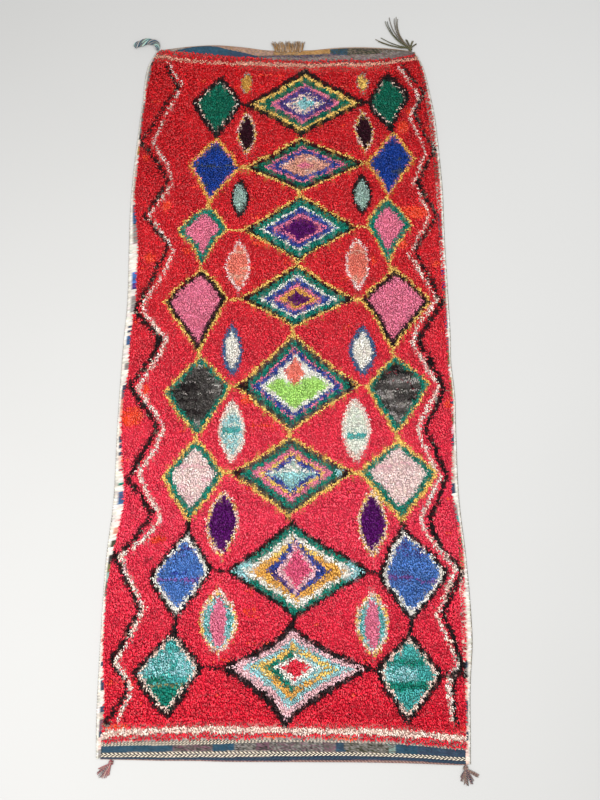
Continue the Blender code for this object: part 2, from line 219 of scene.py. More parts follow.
@dataclass
class ClothShape:
    """The outline and heights of the rug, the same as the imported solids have.

    Each row of sides is a place along, then the left and the right outer edge. Each row
    of ends is a place across, the far edge, the pile's far and near ends, the near edge
    and the far edge's curl. Each row of a strip is a place along, then how much wider the
    overcasting is there, inwards and outwards.
    """

    selvedge_wide: float = 0.0140
    selvedge_tall: float = 0.0050
    pile_top: float = 0.0148
    rim_top: float = 0.0128
    lump: float = 0.0032
    lump_pitch: float = 0.058
    swell: float = 0.0012
    swell_pitch: float = 0.260
    rim_run: float = 0.030
    band_thick: float = 0.0034
    sides: Rows = (
        (1.400, -0.560, 0.562), (1.310, -0.595, 0.591), (1.155, -0.606, 0.607),
        (1.010, -0.615, 0.620), (0.775, -0.627, 0.629), (0.590, -0.628, 0.631),
        (0.245, -0.617, 0.632), (0.080, -0.622, 0.635), (-0.240, -0.625, 0.639),
        (-0.540, -0.622, 0.636), (-0.750, -0.635, 0.638), (-1.020, -0.636, 0.639),
        (-1.280, -0.632, 0.630), (-1.400, -0.624, 0.623),
    )
    ends: Rows = (
        (-0.630, 1.396, 1.388, -1.350, -1.398, 0.000),
        (-0.530, 1.407, 1.397, -1.346, -1.400, 0.002),
        (-0.410, 1.420, 1.386, -1.343, -1.403, 0.006),
        (-0.300, 1.424, 1.373, -1.341, -1.404, 0.008),
        (-0.190, 1.416, 1.361, -1.340, -1.407, 0.006),
        (-0.070, 1.404, 1.352, -1.341, -1.408, 0.000),
        (0.100, 1.404, 1.341, -1.342, -1.409, 0.000), (0.230, 1.410, 1.347, -1.345, -1.410, 0.008),
        (0.350, 1.410, 1.347, -1.350, -1.412, 0.010), (0.460, 1.405, 1.354, -1.358, -1.415, 0.007),
        (0.560, 1.396, 1.372, -1.368, -1.419, 0.001), (0.640, 1.392, 1.382, -1.372, -1.420, 0.000),
    )
    left_strip: Rows = (
        (1.380, 0.002, 0.0), (1.280, 0.010, 0.0), (1.180, 0.001, 0.0), (0.820, 0.005, 0.0),
        (0.700, 0.004, 0.0), (0.590, 0.016, 0.0), (0.480, 0.026, 0.0), (0.370, 0.023, 0.0),
        (0.260, 0.023, 0.0), (0.160, 0.019, 0.0), (0.056, 0.015, 0.0), (-0.045, 0.017, 0.0),
        (-0.144, 0.008, 0.0), (-0.240, 0.004, 0.0), (-0.336, 0.010, 0.0), (-0.430, 0.017, 0.0),
        (-0.520, 0.027, 0.0), (-0.610, 0.025, 0.0), (-0.700, 0.015, 0.0), (-0.790, 0.006, 0.0),
        (-0.870, 0.0, 0.0), (-1.040, 0.0, 0.0), (-1.120, 0.005, 0.0), (-1.200, 0.013, 0.0),
        (-1.280, 0.013, 0.0), (-1.360, 0.004, 0.0),
    )
    right_strip: Rows = (
        (1.380, 0.0, 0.0), (1.260, 0.0, 0.007), (1.120, 0.0, 0.015), (0.980, 0.0, 0.015),
        (0.850, 0.0, 0.015), (0.710, 0.0, 0.015), (0.590, 0.0, 0.012), (0.490, 0.0, 0.010),
        (0.340, 0.0, 0.010), (0.200, 0.002, 0.009), (0.080, 0.002, 0.006), (-0.010, 0.0, 0.001),
        (-0.150, 0.0, 0.006), (-0.260, 0.004, 0.002), (-0.380, 0.008, 0.0), (-0.500, 0.014, 0.0),
        (-0.600, 0.005, 0.003), (-0.680, 0.0, 0.008), (-0.770, 0.0, 0.012), (-0.840, 0.007, 0.014),
        (-0.950, 0.011, 0.015), (-1.040, 0.011, 0.014), (-1.140, 0.006, 0.005),
        (-1.220, 0.005, 0.001), (-1.330, 0.004, 0.0),
    )

    def __post_init__(self) -> None:
        """Makes a smooth table of each measure."""
        self.left_edge, self.right_edge = smooth_columns(self.sides)
        ends = smooth_columns(self.ends)
        self.far_edge, self.far_pile, self.near_pile, self.near_edge, self.curl = ends
        self.inward, self.outward = {}, {}
        for side, rows in ((-1, self.left_strip), (1, self.right_strip)):
            self.inward[side], self.outward[side] = smooth_columns(rows)

    def spot(
        self,
        across_share: np.ndarray,
        along_share: np.ndarray | float,
        start: Callable[[np.ndarray], np.ndarray],
        end: Callable[[np.ndarray], np.ndarray],
    ) -> tuple[np.ndarray, np.ndarray]:
        """Places on the cloth.

        Args:
            across_share: Shares of the width, from the left selvedge to the right.
            along_share: Shares of the way from the start line to the end line.
            start: How far along the start line is at a place across.
            end: How far along the end line is at a place across.

        Returns:
            The places across and along.
        """
        across = np.zeros(np.broadcast(across_share, along_share).shape)
        along = across
        for _ in range(5):
            along = start(across) + (end(across) - start(across)) * along_share
            left = self.left_edge(along) + self.selvedge_wide
            right = self.right_edge(along) - self.selvedge_wide
            across = left + (right - left) * across_share
        return across, along

    def pile_height(self, x: np.ndarray, y: np.ndarray) -> np.ndarray:
        """The pile's height, lumpy inside and a little lower at its rim.

        Args:
            x: Places across.
            y: Places along.

        Returns:
            The height of the tips at each place.
        """
        lumps, swells = (
            np.array([noise.noise(Vector((a, b, 0.5))) for a, b in zip(x / pitch, y / pitch)])
            for pitch in (self.lump_pitch, self.swell_pitch)
        )
        inner = self.pile_top + 2 * self.lump * lumps + 2 * self.swell * swells
        room = np.minimum.reduce([
            x - self.left_edge(y) - self.selvedge_wide,
            self.right_edge(y) - self.selvedge_wide - x,
            y - self.near_pile(x),
            self.far_pile(x) - y,
        ])
        return self.rim_top + (inner - self.rim_top) * smooth(room / self.rim_run)

    def band_height(self, x: np.ndarray, share_out: np.ndarray | float, far: bool) -> np.ndarray:
        """The height of a flat-woven end, which curls up at the far free edge.

        Args:
            x: Places across.
            share_out: Shares of the way from the pile to the free edge.
            far: Whether it is the far end.

        Returns:
            The height at each place.
        """
        lift = np.maximum(self.curl(x), 0.0) * smooth(share_out) if far else 0.0
        return np.full_like(x, self.band_thick) + lift


Bands = tuple[tuple[Dye, float], ...]


@dataclass(frozen=True)
class Lozenge:
    """A diamond of the chart. Its tips are measured from the middle of its width."""

    across: float
    along: float
    half_width: float
    rise: float
    drop: float
    top_lean: float
    bottom_lean: float
    tilt: float
    bands: Bands
    bulge: float = 1.0
    low_bulge: float | None = None

    def reach(self, x: np.ndarray, y: np.ndarray, bulge: float | None = None) -> np.ndarray:
        """How far out each place is.

        Args:
            x: Places across.
            y: Places along.
            bulge: Over 1 for sides that swell, under 1 for sides that draw in.

        Returns:
            0 at the middle and 1 on the outline.
        """
        high = self.bulge if bulge is None else bulge
        low = high if self.low_bulge is None or bulge is not None else self.low_bulge
        dx, dy = x - self.across, y - self.along
        right = (self.half_width, self.tilt / 2)
        left = (-self.half_width, -self.tilt / 2)
        top = (self.top_lean, self.rise)
        bottom = (self.bottom_lean, -self.drop)
        found = np.full(np.shape(dx), np.inf)
        for p, q, power in (
            (right, top, high), (top, left, high), (left, bottom, low), (bottom, right, low),
        ):
            whole = p[0] * q[1] - p[1] * q[0]
            a = (dx * q[1] - dy * q[0]) / whole
            b = (p[0] * dy - p[1] * dx) / whole
            inside = (a >= -1e-9) & (b >= -1e-9)
            a, b = np.maximum(a, 0), np.maximum(b, 0)
            found = np.where(inside, (a**power + b**power) ** (1 / power), found)
        return found

    def tip(self, name: str) -> tuple[float, float]:
        """The place of a tip.

        Args:
            name: Which tip: left, right, top or bottom.

        Returns:
            Its places across and along.
        """
        return {
            "left": (self.across - self.half_width, self.along - self.tilt / 2),
            "right": (self.across + self.half_width, self.along + self.tilt / 2),
            "top": (self.across + self.top_lean, self.along + self.rise),
            "bottom": (self.across + self.bottom_lean, self.along - self.drop),
        }[name]


@dataclass(frozen=True)
class Leaf:
    """A pointed oval of the chart, with an outline."""

    across: float
    along: float
    half_width: float
    half_height: float
    filling: Dye
    outline: Dye
    inner_share: float = 0.70

    def reach(self, x: np.ndarray, y: np.ndarray) -> np.ndarray:
        """How far out each place is.

        Args:
            x: Places across.
            y: Places along.

        Returns:
            0 at the middle and 1 on the outline.
        """
        a = np.abs(x - self.across) / self.half_width
        b = np.abs(y - self.along) / self.half_height
        return (a + np.sqrt(a * a + 4 * b * b)) / 2


@dataclass(frozen=True)
class Line:
    """A line of single knots through a few places."""

    places: tuple[tuple[float, float], ...]
    dye: Dye
    thick: float

    def distance(self, x: np.ndarray, y: np.ndarray) -> np.ndarray:
        """How far each place is from the line.

        Args:
            x: Places across.
            y: Places along.

        Returns:
            The distance from each place.
        """
        found = np.full(np.shape(x), np.inf)
        for (x0, y0), (x1, y1) in zip(self.places, self.places[1:]):
            run = (x1 - x0) ** 2 + (y1 - y0) ** 2
            t = np.clip(((x - x0) * (x1 - x0) + (y - y0) * (y1 - y0)) / run, 0, 1)
            found = np.minimum(found, np.hypot(x - x0 - t * (x1 - x0), y - y0 - t * (y1 - y0)))
        return found


Span = tuple[float, float]
ALL: Span = (-math.inf, math.inf)


def over(least: float) -> Span:
    """All values over the given one."""
    return (least, math.inf)


def under(most: float) -> Span:
    """All values under the given one."""
    return (-math.inf, most)


@dataclass(frozen=True)
class Accent:
    """Knots of another dye in a part of a lozenge.

    Reach is a span of shares of the way to the outline, or None for the filling. Right,
    up and beside are spans of metres from the middle, beside on both sides alike. Streak
    and draw pick some rows and some knots.
    """

    dye: Dye
    reach: Span | None = None
    right: Span = ALL
    up: Span = ALL
    beside: Span = ALL
    streak: Span = ALL
    draw: Span = ALL
    bulge: float | None = None


MIDDLE_LOZENGES = (
    Lozenge(0.085, 1.136, 0.248, 0.165, 0.146, -0.001, -0.016, 0.008, (
        (Dye.BLACK, 1.08), (Dye.YELLOW, 0.92), (Dye.GREEN, 0.81), (Dye.PINK, 0.64),
        (Dye.VIOLET, 0.54), (Dye.CREAM, 0.37), (Dye.AQUA, 0.20)), 0.95),
    Lozenge(0.084, 0.840, 0.253, 0.138, 0.123, -0.018, -0.019, 0.022, (
        (Dye.YELLOW, 1.03), (Dye.BLACK, 0.955), (Dye.GREEN, 0.84), (Dye.PINK, 0.70),
        (Dye.BLUE, 0.61), (Dye.PEACH, 0.45), (Dye.PINK, 0.15)), 0.95),
    Lozenge(0.062, 0.551, 0.237, 0.157, 0.145, 0.003, -0.010, 0.014, (
        (Dye.YELLOW, 1.02), (Dye.BLACK, 0.95), (Dye.TEAL_GREEN, 0.88), (Dye.WHITE, 0.69),
        (Dye.BLUE, 0.63), (Dye.PINK, 0.47), (Dye.PURPLE, 0.36)), 0.95),
    Lozenge(0.050, 0.246, 0.231, 0.155, 0.120, -0.004, -0.019, -0.007, (
        (Dye.YELLOW, 1.02), (Dye.BLACK, 0.93), (Dye.TEAL_GREEN, 0.85), (Dye.WHITE, 0.68),
        (Dye.BLUE, 0.59), (Dye.PINK, 0.43), (Dye.ORANGE, 0.35), (Dye.PURPLE, 0.23)), 0.95),
    Lozenge(0.050, -0.110, 0.242, 0.215, 0.181, -0.019, -0.030, 0.002, (
        (Dye.YELLOW, 1.02), (Dye.CHARCOAL, 0.95), (Dye.TEAL_GREEN, 0.86), (Dye.PINK, 0.74),
        (Dye.BLUE, 0.70), (Dye.WHITE, 0.59)), 0.95),
    Lozenge(0.031, -0.441, 0.235, 0.140, 0.163, -0.010, -0.014, 0.001, (
        (Dye.YELLOW, 1.02), (Dye.CHARCOAL, 0.93), (Dye.TEAL_GREEN, 0.82), (Dye.PINK, 0.67),
        (Dye.YELLOW, 0.55), (Dye.BLUE, 0.47)), 0.95),
    Lozenge(0.054, -0.793, 0.261, 0.174, 0.161, -0.026, -0.016, -0.007, (
        (Dye.BLACK, 1.02), (Dye.TEAL_GREEN, 0.93), (Dye.WHITE, 0.80), (Dye.ORANGE, 0.67),
        (Dye.BLUE, 0.54), (Dye.PALE_PINK, 0.41), (Dye.HOT_PINK, 0.27)), 0.95),
    Lozenge(0.044, -1.116, 0.250, 0.125, 0.169, -0.020, -0.038, -0.006, (
        (Dye.BLACK, 1.16), (Dye.PALE_PINK, 0.98), (Dye.AQUA, 0.80), (Dye.YELLOW, 0.65),
        (Dye.TEAL_GREEN, 0.50), (Dye.WHITE, 0.37), (Dye.CRIMSON, 0.24)), 0.82),
)
STARS = (
    Lozenge(0.050, -0.793, 0.124, 0.122, 0.096, -0.012, -0.008, 0.0, ((Dye.BLUE, 1.0),), 0.84),
    Lozenge(0.050, -0.793, 0.086, 0.108, 0.086, -0.010, -0.008, 0.0, ((Dye.PALE_PINK, 1.0),), 0.84),
    Lozenge(0.050, -0.793, 0.060, 0.090, 0.066, -0.008, -0.006, 0.0, ((Dye.HOT_PINK, 1.0),), 0.80),
)
SIDE_BANDS: tuple[Bands, ...] = (
    ((Dye.BLACK, 1.08), (Dye.CREAM, 0.90), (Dye.GREEN, 0.81)),
    ((Dye.ORANGE, 1.01), (Dye.ROYAL_BLUE, 0.86)),
    ((Dye.YELLOW, 1.01), (Dye.TEAL_GREEN, 0.90), (Dye.PINK, 0.66)),
    ((Dye.YELLOW, 1.01), (Dye.BLACK, 0.93), (Dye.PINK, 0.78)),
    ((Dye.YELLOW, 1.01), (Dye.TEAL_GREEN, 0.93), (Dye.CHARCOAL, 0.79)),
    ((Dye.YELLOW, 1.01), (Dye.TEAL_GREEN, 0.89), (Dye.BLUSH, 0.72)),
    ((Dye.BLACK, 1.01), (Dye.WHITE, 0.87), (Dye.SKY_BLUE, 0.765)),
    ((Dye.BLACK, 1.01), (Dye.CREAM, 0.86), (Dye.TEAL, 0.765)),
)
SIDE_BULGES = (1.08, 1.08, 1.25, 1.16, 1.08, 1.08, 1.08, 1.08)
LOW_BULGES = (1.08, 0.90, 0.82, 0.94, 1.08, 1.08, 1.08, 1.08)


def side_column(rows: Rows) -> tuple[Lozenge, ...]:
    """The lozenges of a side column, each row the sizes of one from the far end."""
    looks = zip(rows, SIDE_BANDS, SIDE_BULGES, LOW_BULGES)
    return tuple(Lozenge(*sizes, bands, high, low) for sizes, bands, high, low in looks)


LEFT_LOZENGES = side_column((
    (-0.290, 1.142, 0.101, 0.130, 0.161, 0.017, 0.003, -0.010),
    (-0.294, 0.836, 0.110, 0.133, 0.177, 0.011, -0.012, -0.013),
    (-0.335, 0.544, 0.103, 0.113, 0.168, 0.022, 0.005, 0.002),
    (-0.349, 0.239, 0.129, 0.136, 0.221, 0.019, 0.014, 0.010),
    (-0.329, -0.123, 0.128, 0.135, 0.180, 0.003, -0.001, 0.019),
    (-0.337, -0.447, 0.115, 0.135, 0.169, 0.007, -0.011, 0.007),
    (-0.368, -0.801, 0.114, 0.156, 0.153, 0.021, -0.011, 0.024),
    (-0.399, -1.123, 0.122, 0.132, 0.156, 0.012, 0.004, 0.020),
))
RIGHT_LOZENGES = side_column((
    (0.442, 1.158, 0.089, 0.127, 0.140, -0.006, -0.002, 0.034),
    (0.439, 0.858, 0.102, 0.143, 0.176, 0.013, -0.021, 0.013),
    (0.420, 0.559, 0.095, 0.130, 0.185, -0.004, -0.009, -0.002),
    (0.439, 0.237, 0.138, 0.136, 0.210, -0.002, -0.023, -0.011),
    (0.433, -0.107, 0.121, 0.123, 0.192, -0.010, -0.015, 0.010),
    (0.420, -0.438, 0.145, 0.120, 0.182, 0.005, 0.007, -0.001),
    (0.462, -0.801, 0.130, 0.167, 0.168, -0.036, -0.019, 0.003),
    (0.430, -1.134, 0.119, 0.132, 0.160, 0.012, -0.012, -0.017),
))
DARK_TIPS = Accent(Dye.BLACK, under(0.97), beside=over(0.188), draw=under(0.85))
MIDDLE_ACCENTS: tuple[tuple[Accent, ...], ...] = (
    (Accent(Dye.BLUE, (0.20, 0.37), draw=over(0.70)), Accent(Dye.TEAL, under(0.20), draw=over(0.70))),
    (Accent(Dye.CREAM, under(0.45), streak=over(0.35)),),
    (DARK_TIPS,),
    (DARK_TIPS,),
    (DARK_TIPS,),
    (
        DARK_TIPS,
        Accent(Dye.WHITE, under(0.46), up=over(0.0), bulge=0.66),
        Accent(Dye.AQUA, under(0.46), up=under(0.0), bulge=0.66),
        Accent(Dye.SAGE, under(0.46), draw=over(0.75), bulge=0.66),
        Accent(Dye.AQUA, (0.68, 0.82), right=over(0.165)),
    ),
    (
        Accent(Dye.AQUA, (0.80, 0.92), beside=over(0.17)),
        Accent(Dye.YELLOW, (0.54, 0.67), up=over(0.05)),
        Accent(Dye.ORANGE, under(0.54)),
    ),
    (Accent(Dye.ORANGE, (0.50, 0.65), up=under(-0.03)), Accent(Dye.AQUA, (0.37, 0.50), right=over(0.0))),
)
BLUE_SHADES = (
    Accent(Dye.VIOLET, up=over(0.055), draw=under(0.25)),
    Accent(Dye.BLUE, streak=over(0.75), draw=under(0.6)),
)
LEFT_ACCENTS: tuple[tuple[Accent, ...], ...] = (
    (Accent(Dye.BLACK, (0.79, 0.91), draw=over(0.52)),),
    (
        Accent(Dye.NAVY, streak=over(0.55), draw=under(0.7)),
        Accent(Dye.PINK, (0.80, 0.92), draw=over(0.78)),
    ),
    (),
    (),
    (Accent(Dye.BLACK, streak=under(-0.50)), Accent(Dye.GREY, streak=over(0.30), draw=under(0.85))),
    (Accent(Dye.PALE_PINK, streak=over(0.5)),),
    (Accent(Dye.LILAC, up=(-0.0265, -0.0135), draw=under(0.92)), *BLUE_SHADES),
    (
        Accent(Dye.AQUA, up=(-0.016, 0.062), draw=under(0.6)),
        Accent(Dye.GREEN, right=under(-0.010), up=(-0.040, -0.021)),
        Accent(Dye.OLIVE, up=(-0.053, -0.043), draw=under(0.9)),
        Accent(Dye.TEAL_GREEN, up=under(-0.053)),
    ),
)
RIGHT_ACCENTS: tuple[tuple[Accent, ...], ...] = (
    (*LEFT_ACCENTS[0], Accent(Dye.BLACK, under(1.03), up=over(0.090))),
    LEFT_ACCENTS[1],
    (),
    (),
    (Accent(Dye.MAROON, draw=over(0.97)), *LEFT_ACCENTS[4]),
    LEFT_ACCENTS[5],
    (
        Accent(Dye.LILAC, right=over(0.0), up=(-0.0325, -0.0195), draw=under(0.92)),
        Accent(Dye.LILAC, right=under(0.0), up=(-0.0205, -0.0075), draw=under(0.92)),
        *BLUE_SHADES,
    ),
    (
        Accent(Dye.TEAL_GREEN, streak=over(0.45), draw=under(0.8)),
        Accent(Dye.AQUA, right=under(0.030), up=(-0.028, 0.018), draw=under(0.7)),
        Accent(Dye.TEAL_GREEN, up=(-0.052, -0.030)),
    ),
)
LEAVES = (
    Leaf(-0.166, 1.239, 0.026, 0.059, Dye.MUSTARD, Dye.GREY, 0.80),
    Leaf(-0.162, 0.993, 0.038, 0.109, Dye.AUBERGINE, Dye.CREAM, 0.82),
    Leaf(-0.183, 0.692, 0.038, 0.093, Dye.SAGE, Dye.BLACK, 0.72),
    Leaf(-0.184, 0.390, 0.048, 0.109, Dye.SALMON, Dye.BLUSH, 0.85),
    Leaf(-0.203, 0.039, 0.039, 0.109, Dye.WHITE, Dye.STEEL_BLUE, 0.70),
    Leaf(-0.197, -0.283, 0.052, 0.123, Dye.AQUA, Dye.CREAM, 0.76),
    Leaf(-0.223, -0.623, 0.060, 0.121, Dye.PURPLE, Dye.CREAM, 0.85),
    Leaf(-0.229, -0.962, 0.066, 0.113, Dye.PINK, Dye.CREAM, 0.80),
    Leaf(0.330, 1.241, 0.026, 0.054, Dye.YELLOW, Dye.GREY, 0.80),
    Leaf(0.331, 1.005, 0.038, 0.102, Dye.AUBERGINE, Dye.CREAM, 0.82),
    Leaf(0.314, 0.704, 0.042, 0.098, Dye.SAGE, Dye.BLACK, 0.72),
    Leaf(0.290, 0.397, 0.046, 0.117, Dye.SALMON, Dye.BLUSH, 0.84),
    Leaf(0.300, 0.034, 0.051, 0.103, Dye.WHITE, Dye.STEEL_BLUE, 0.72),
    Leaf(0.267, -0.278, 0.056, 0.126, Dye.PALE_SAGE, Dye.CREAM, 0.76),
    Leaf(0.320, -0.625, 0.054, 0.125, Dye.PURPLE, Dye.CREAM, 0.80),
    Leaf(0.310, -0.972, 0.059, 0.113, Dye.PINK, Dye.CREAM, 0.80),
)
ZIGZAGS = (
    Line((
        (-0.510, 1.319), (-0.460, 1.222), (-0.601, 0.956), (-0.538, 0.868), (-0.482, 0.765),
        (-0.571, 0.612), (-0.466, 0.478), (-0.553, 0.274), (-0.589, 0.198), (-0.479, 0.084),
        (-0.514, -0.003), (-0.591, -0.106), (-0.476, -0.266), (-0.574, -0.461), (-0.529, -0.515),
        (-0.478, -0.589), (-0.564, -0.709), (-0.618, -0.740), (-0.579, -0.780), (-0.503, -0.927),
        (-0.592, -1.090), (-0.532, -1.178), (-0.597, -1.287)), Dye.BLACK, 0.0165),
    Line((
        (-0.502, 1.344), (-0.442, 1.228), (-0.559, 0.953), (-0.498, 0.854), (-0.459, 0.765),
        (-0.551, 0.618), (-0.444, 0.459), (-0.481, 0.360), (-0.554, 0.232), (-0.557, 0.197),
        (-0.460, 0.084), (-0.479, 0.020), (-0.557, -0.117), (-0.447, -0.266), (-0.480, -0.349),
        (-0.540, -0.444), (-0.451, -0.589), (-0.449, -0.614), (-0.498, -0.671), (-0.586, -0.743),
        (-0.489, -0.920), (-0.579, -1.099), (-0.521, -1.178), (-0.563, -1.284)), Dye.CREAM, 0.0100),
    Line((
        (0.507, 1.323), (0.596, 1.189), (0.546, 1.095), (0.622, 0.905), (0.543, 0.765),
        (0.618, 0.608), (0.523, 0.456), (0.564, 0.350), (0.618, 0.237), (0.518, 0.075),
        (0.612, -0.126), (0.526, -0.271), (0.600, -0.450), (0.522, -0.627), (0.559, -0.702),
        (0.636, -0.800), (0.556, -0.934), (0.622, -1.116), (0.572, -1.155), (0.581, -1.294)),
        Dye.BLACK, 0.0165),
    Line((
        (0.491, 1.315), (0.571, 1.169), (0.527, 1.074), (0.585, 0.898), (0.525, 0.758),
        (0.589, 0.614), (0.500, 0.439), (0.552, 0.332), (0.598, 0.241), (0.521, 0.140),
        (0.492, 0.063), (0.590, -0.120), (0.508, -0.247), (0.501, -0.299), (0.572, -0.450),
        (0.491, -0.617), (0.524, -0.684), (0.614, -0.785), (0.532, -0.943), (0.605, -1.110),
        (0.562, -1.158), (0.572, -1.283)), Dye.CREAM, 0.0100),
    Line(((0.549, -1.142), (0.640, -1.142)), Dye.BLACK, 0.0140),
)
END_LINES = (
    Line((
        (-0.553, 1.379), (-0.413, 1.353), (-0.240, 1.338), (-0.024, 1.332), (0.192, 1.331),
        (0.408, 1.336), (0.517, 1.356), (0.574, 1.371)), Dye.PEACH, 0.0175),
    Line((
        (-0.607, -1.324), (-0.484, -1.315), (-0.349, -1.310), (-0.181, -1.310), (-0.013, -1.314),
        (0.156, -1.316), (0.324, -1.318), (0.458, -1.328), (0.525, -1.334), (0.612, -1.340)),
        Dye.CREAM, 0.0190),
)
ACROSS_LINKS = (
    Dye.BLACK, Dye.YELLOW, Dye.YELLOW, Dye.YELLOW, Dye.YELLOW, Dye.YELLOW, Dye.BLACK, Dye.BLACK,
)
ALONG_LINKS = (Dye.BLACK, Dye.YELLOW, Dye.YELLOW, Dye.YELLOW, Dye.YELLOW, Dye.BLACK, Dye.BLACK)


# Patches of the ground where rows of another red were knotted in. Each has its place
# across and along, its half width and half height, and the share of its knots.
STREAK_PATCHES: Rows = (
    (0.519, 0.623, 0.062, 0.030, 0.95), (0.495, 1.020, 0.024, 0.032, 0.85),
    (0.528, 1.105, 0.015, 0.016, 0.85), (-0.481, 0.660, 0.020, 0.019, 0.85),
    (-0.582, 0.877, 0.013, 0.012, 0.85), (-0.539, 0.422, 0.025, 0.020, 0.85),
    (-0.395, 0.454, 0.012, 0.014, 0.85), (-0.575, -0.226, 0.040, 0.038, 0.95),
    (-0.524, -0.122, 0.012, 0.024, 0.85), (-0.461, -0.681, 0.031, 0.011, 0.85),
    (0.473, 0.481, 0.019, 0.020, 0.85), (0.599, 0.395, 0.020, 0.014, 0.85),
    (0.619, -0.183, 0.018, 0.014, 0.85), (-0.102, 0.486, 0.043, 0.012, 0.85),
    (0.352, 0.411, 0.013, 0.016, 0.85), (-0.140, -0.157, 0.029, 0.022, 0.85),
    (0.201, -1.341, 0.044, 0.008, 0.85), (-0.026, -1.338, 0.032, 0.008, 0.85),
    (-0.560, -1.301, 0.036, 0.009, 0.85),
)


class Chart:
    """The knotted pattern: which dye each knot has.

    Inside a motif, reach is 0 at its middle and 1 on its outline, dx and dy are metres
    from its middle, draw is a chance from 0 to 1 for each knot and streak is an
    unevenness from -1 to 1 that runs in rows.
    """

    MIDDLE = (0.0565, -0.83)
    STRETCH = 1.0053
    SWAY_ACROSS = 0.0040
    SWAY_ALONG = 0.0030
    ACROSS_LINK_THICK = 0.013
    ALONG_LINK_THICK = 0.016

    def __init__(self) -> None:
        """Sets how uneven a hand knots a line and how the reds streak."""
        self.sway_across = Unevenness(11, 0.050, 0.035)
        self.sway_along = Unevenness(12, 0.055, 0.040)
        self.streaks = Unevenness(13, 0.120, 0.012)
        self.flecks = Unevenness(14, 0.018, 0.018)
        self.chance = np.random.default_rng(15)

    def knots(self, x: np.ndarray, y: np.ndarray) -> np.ndarray:
        """The dye of each knot.

        Args:
            x: Places of the knots across.
            y: Places of the knots along.

        Returns:
            Each knot's number in DYES.
        """
        middle_x, middle_y = self.MIDDLE
        self.x = middle_x + (x - middle_x) * self.STRETCH + self.SWAY_ACROSS * self.sway_across(x, y)
        self.y = middle_y + (y - middle_y) * self.STRETCH + self.SWAY_ALONG * self.sway_along(x, y)
        self.streak = self.streaks(x, y)
        self.draw = self.chance.random(len(x))
        self.dyes = np.full(len(x), NUMBER[Dye.CRIMSON])
        self.paint_ground()
        for line in END_LINES:
            self.paint_line(line.places, line.dye, line.thick)
        for line in ZIGZAGS:
            self.paint_zigzag(line)
        self.paint_links()
        for lozenges, column in (
            (MIDDLE_LOZENGES, MIDDLE_ACCENTS),
            (LEFT_LOZENGES, LEFT_ACCENTS),
            (RIGHT_LOZENGES, RIGHT_ACCENTS),
        ):
            for lozenge, accents in zip(lozenges, column):
                self.paint_bands(lozenge)
                self.paint_accents(lozenge, accents)
        self.paint_heart(MIDDLE_LOZENGES[4])
        self.paint_stars(MIDDLE_LOZENGES[6])
        self.paint_foot(RIGHT_LOZENGES[3])
        for leaf in LEAVES:
            self.paint_leaf(leaf)
        return self.dyes

    def paint(self, where: np.ndarray, dye: Dye, share: float = 1.0) -> None:
        """Gives a share of some knots a dye.

        Args:
            where: Which knots.
            dye: The dye.
            share: The share of them that take it.
        """
        self.dyes[where & (self.draw < share)] = NUMBER[dye]

    def paint_line(self, places: tuple[tuple[float, float], ...], dye: Dye, thick: float) -> None:
        """A plain line of knots.

        Args:
            places: Where it bends, from end to end.
            dye: Its dye.
            thick: Its thickness.
        """
        line = Line(places, dye, thick)
        self.paint(line.distance(self.x, self.y) < thick / 2, dye)

    def paint_ground(self) -> None:
        """Streaks of orange red, mostly in a few patches, and rare dark rows."""
        for across, along, half_width, half_height, share in STREAK_PATCHES:
            a = (self.x - across) / half_width
            b = (self.y - along) / half_height
            self.paint((a * a + b * b < 1.0) & (self.streak > -0.80), Dye.VERMILION, share)
        self.paint(self.streak > 0.86, Dye.VERMILION, 0.40)
        self.paint(self.streak < -0.93, Dye.MAROON, 0.35)

    def paint_zigzag(self, line: Line) -> None:
        """A zigzag of single knots, the dark one with a few knots of other yarn.

        Args:
            line: Its corners, dye and thickness.
        """
        far = smooth((self.y - 0.05) / 0.5)
        thick = line.thick * (1.15 - 0.22 * far) * (1.0 + 0.28 * self.flecks(self.x, self.y))
        where = line.distance(self.x, self.y) < thick / 2
        self.paint(where, line.dye)
        if line.dye is Dye.BLACK:
            self.paint(where & (self.draw > 0.92 - 0.12 * far), Dye.TAUPE)
            self.paint(where & (self.draw > 0.95 - 0.06 * far), Dye.CRIMSON)
        else:
            where = line.distance(self.x, self.y) < thick * (1.20 - 0.20 * far) / 2
            self.paint(where, line.dye)
            self.paint(where & (self.draw > 0.55), Dye.WHITE)
            self.paint(where & (self.draw > 0.84 - 0.12 * far), Dye.CRIMSON)
            self.paint(where & (self.draw > 0.95), Dye.PALE_PINK)

    def paint_links(self) -> None:
        """Short lines between neighbouring tips."""
        rows = zip(LEFT_LOZENGES, MIDDLE_LOZENGES, RIGHT_LOZENGES, ACROSS_LINKS)
        for left, middle, right, dye in rows:
            for first, second in ((left, middle), (middle, right)):
                self.paint_line((first.tip("right"), second.tip("left")), dye, self.ACROSS_LINK_THICK)
        for lozenges in (LEFT_LOZENGES, MIDDLE_LOZENGES, RIGHT_LOZENGES):
            for upper, lower, dye in zip(lozenges, lozenges[1:], ALONG_LINKS):
                self.paint_line((upper.tip("bottom"), lower.tip("top")), dye, self.ALONG_LINK_THICK)

    def paint_bands(self, lozenge: Lozenge) -> None:
        """The bands of a lozenge, from its outline inwards.

        Args:
            lozenge: Its sizes and bands.
        """
        reach = lozenge.reach(self.x, self.y)
        for dye, size in lozenge.bands:
            self.paint(reach < size, dye)

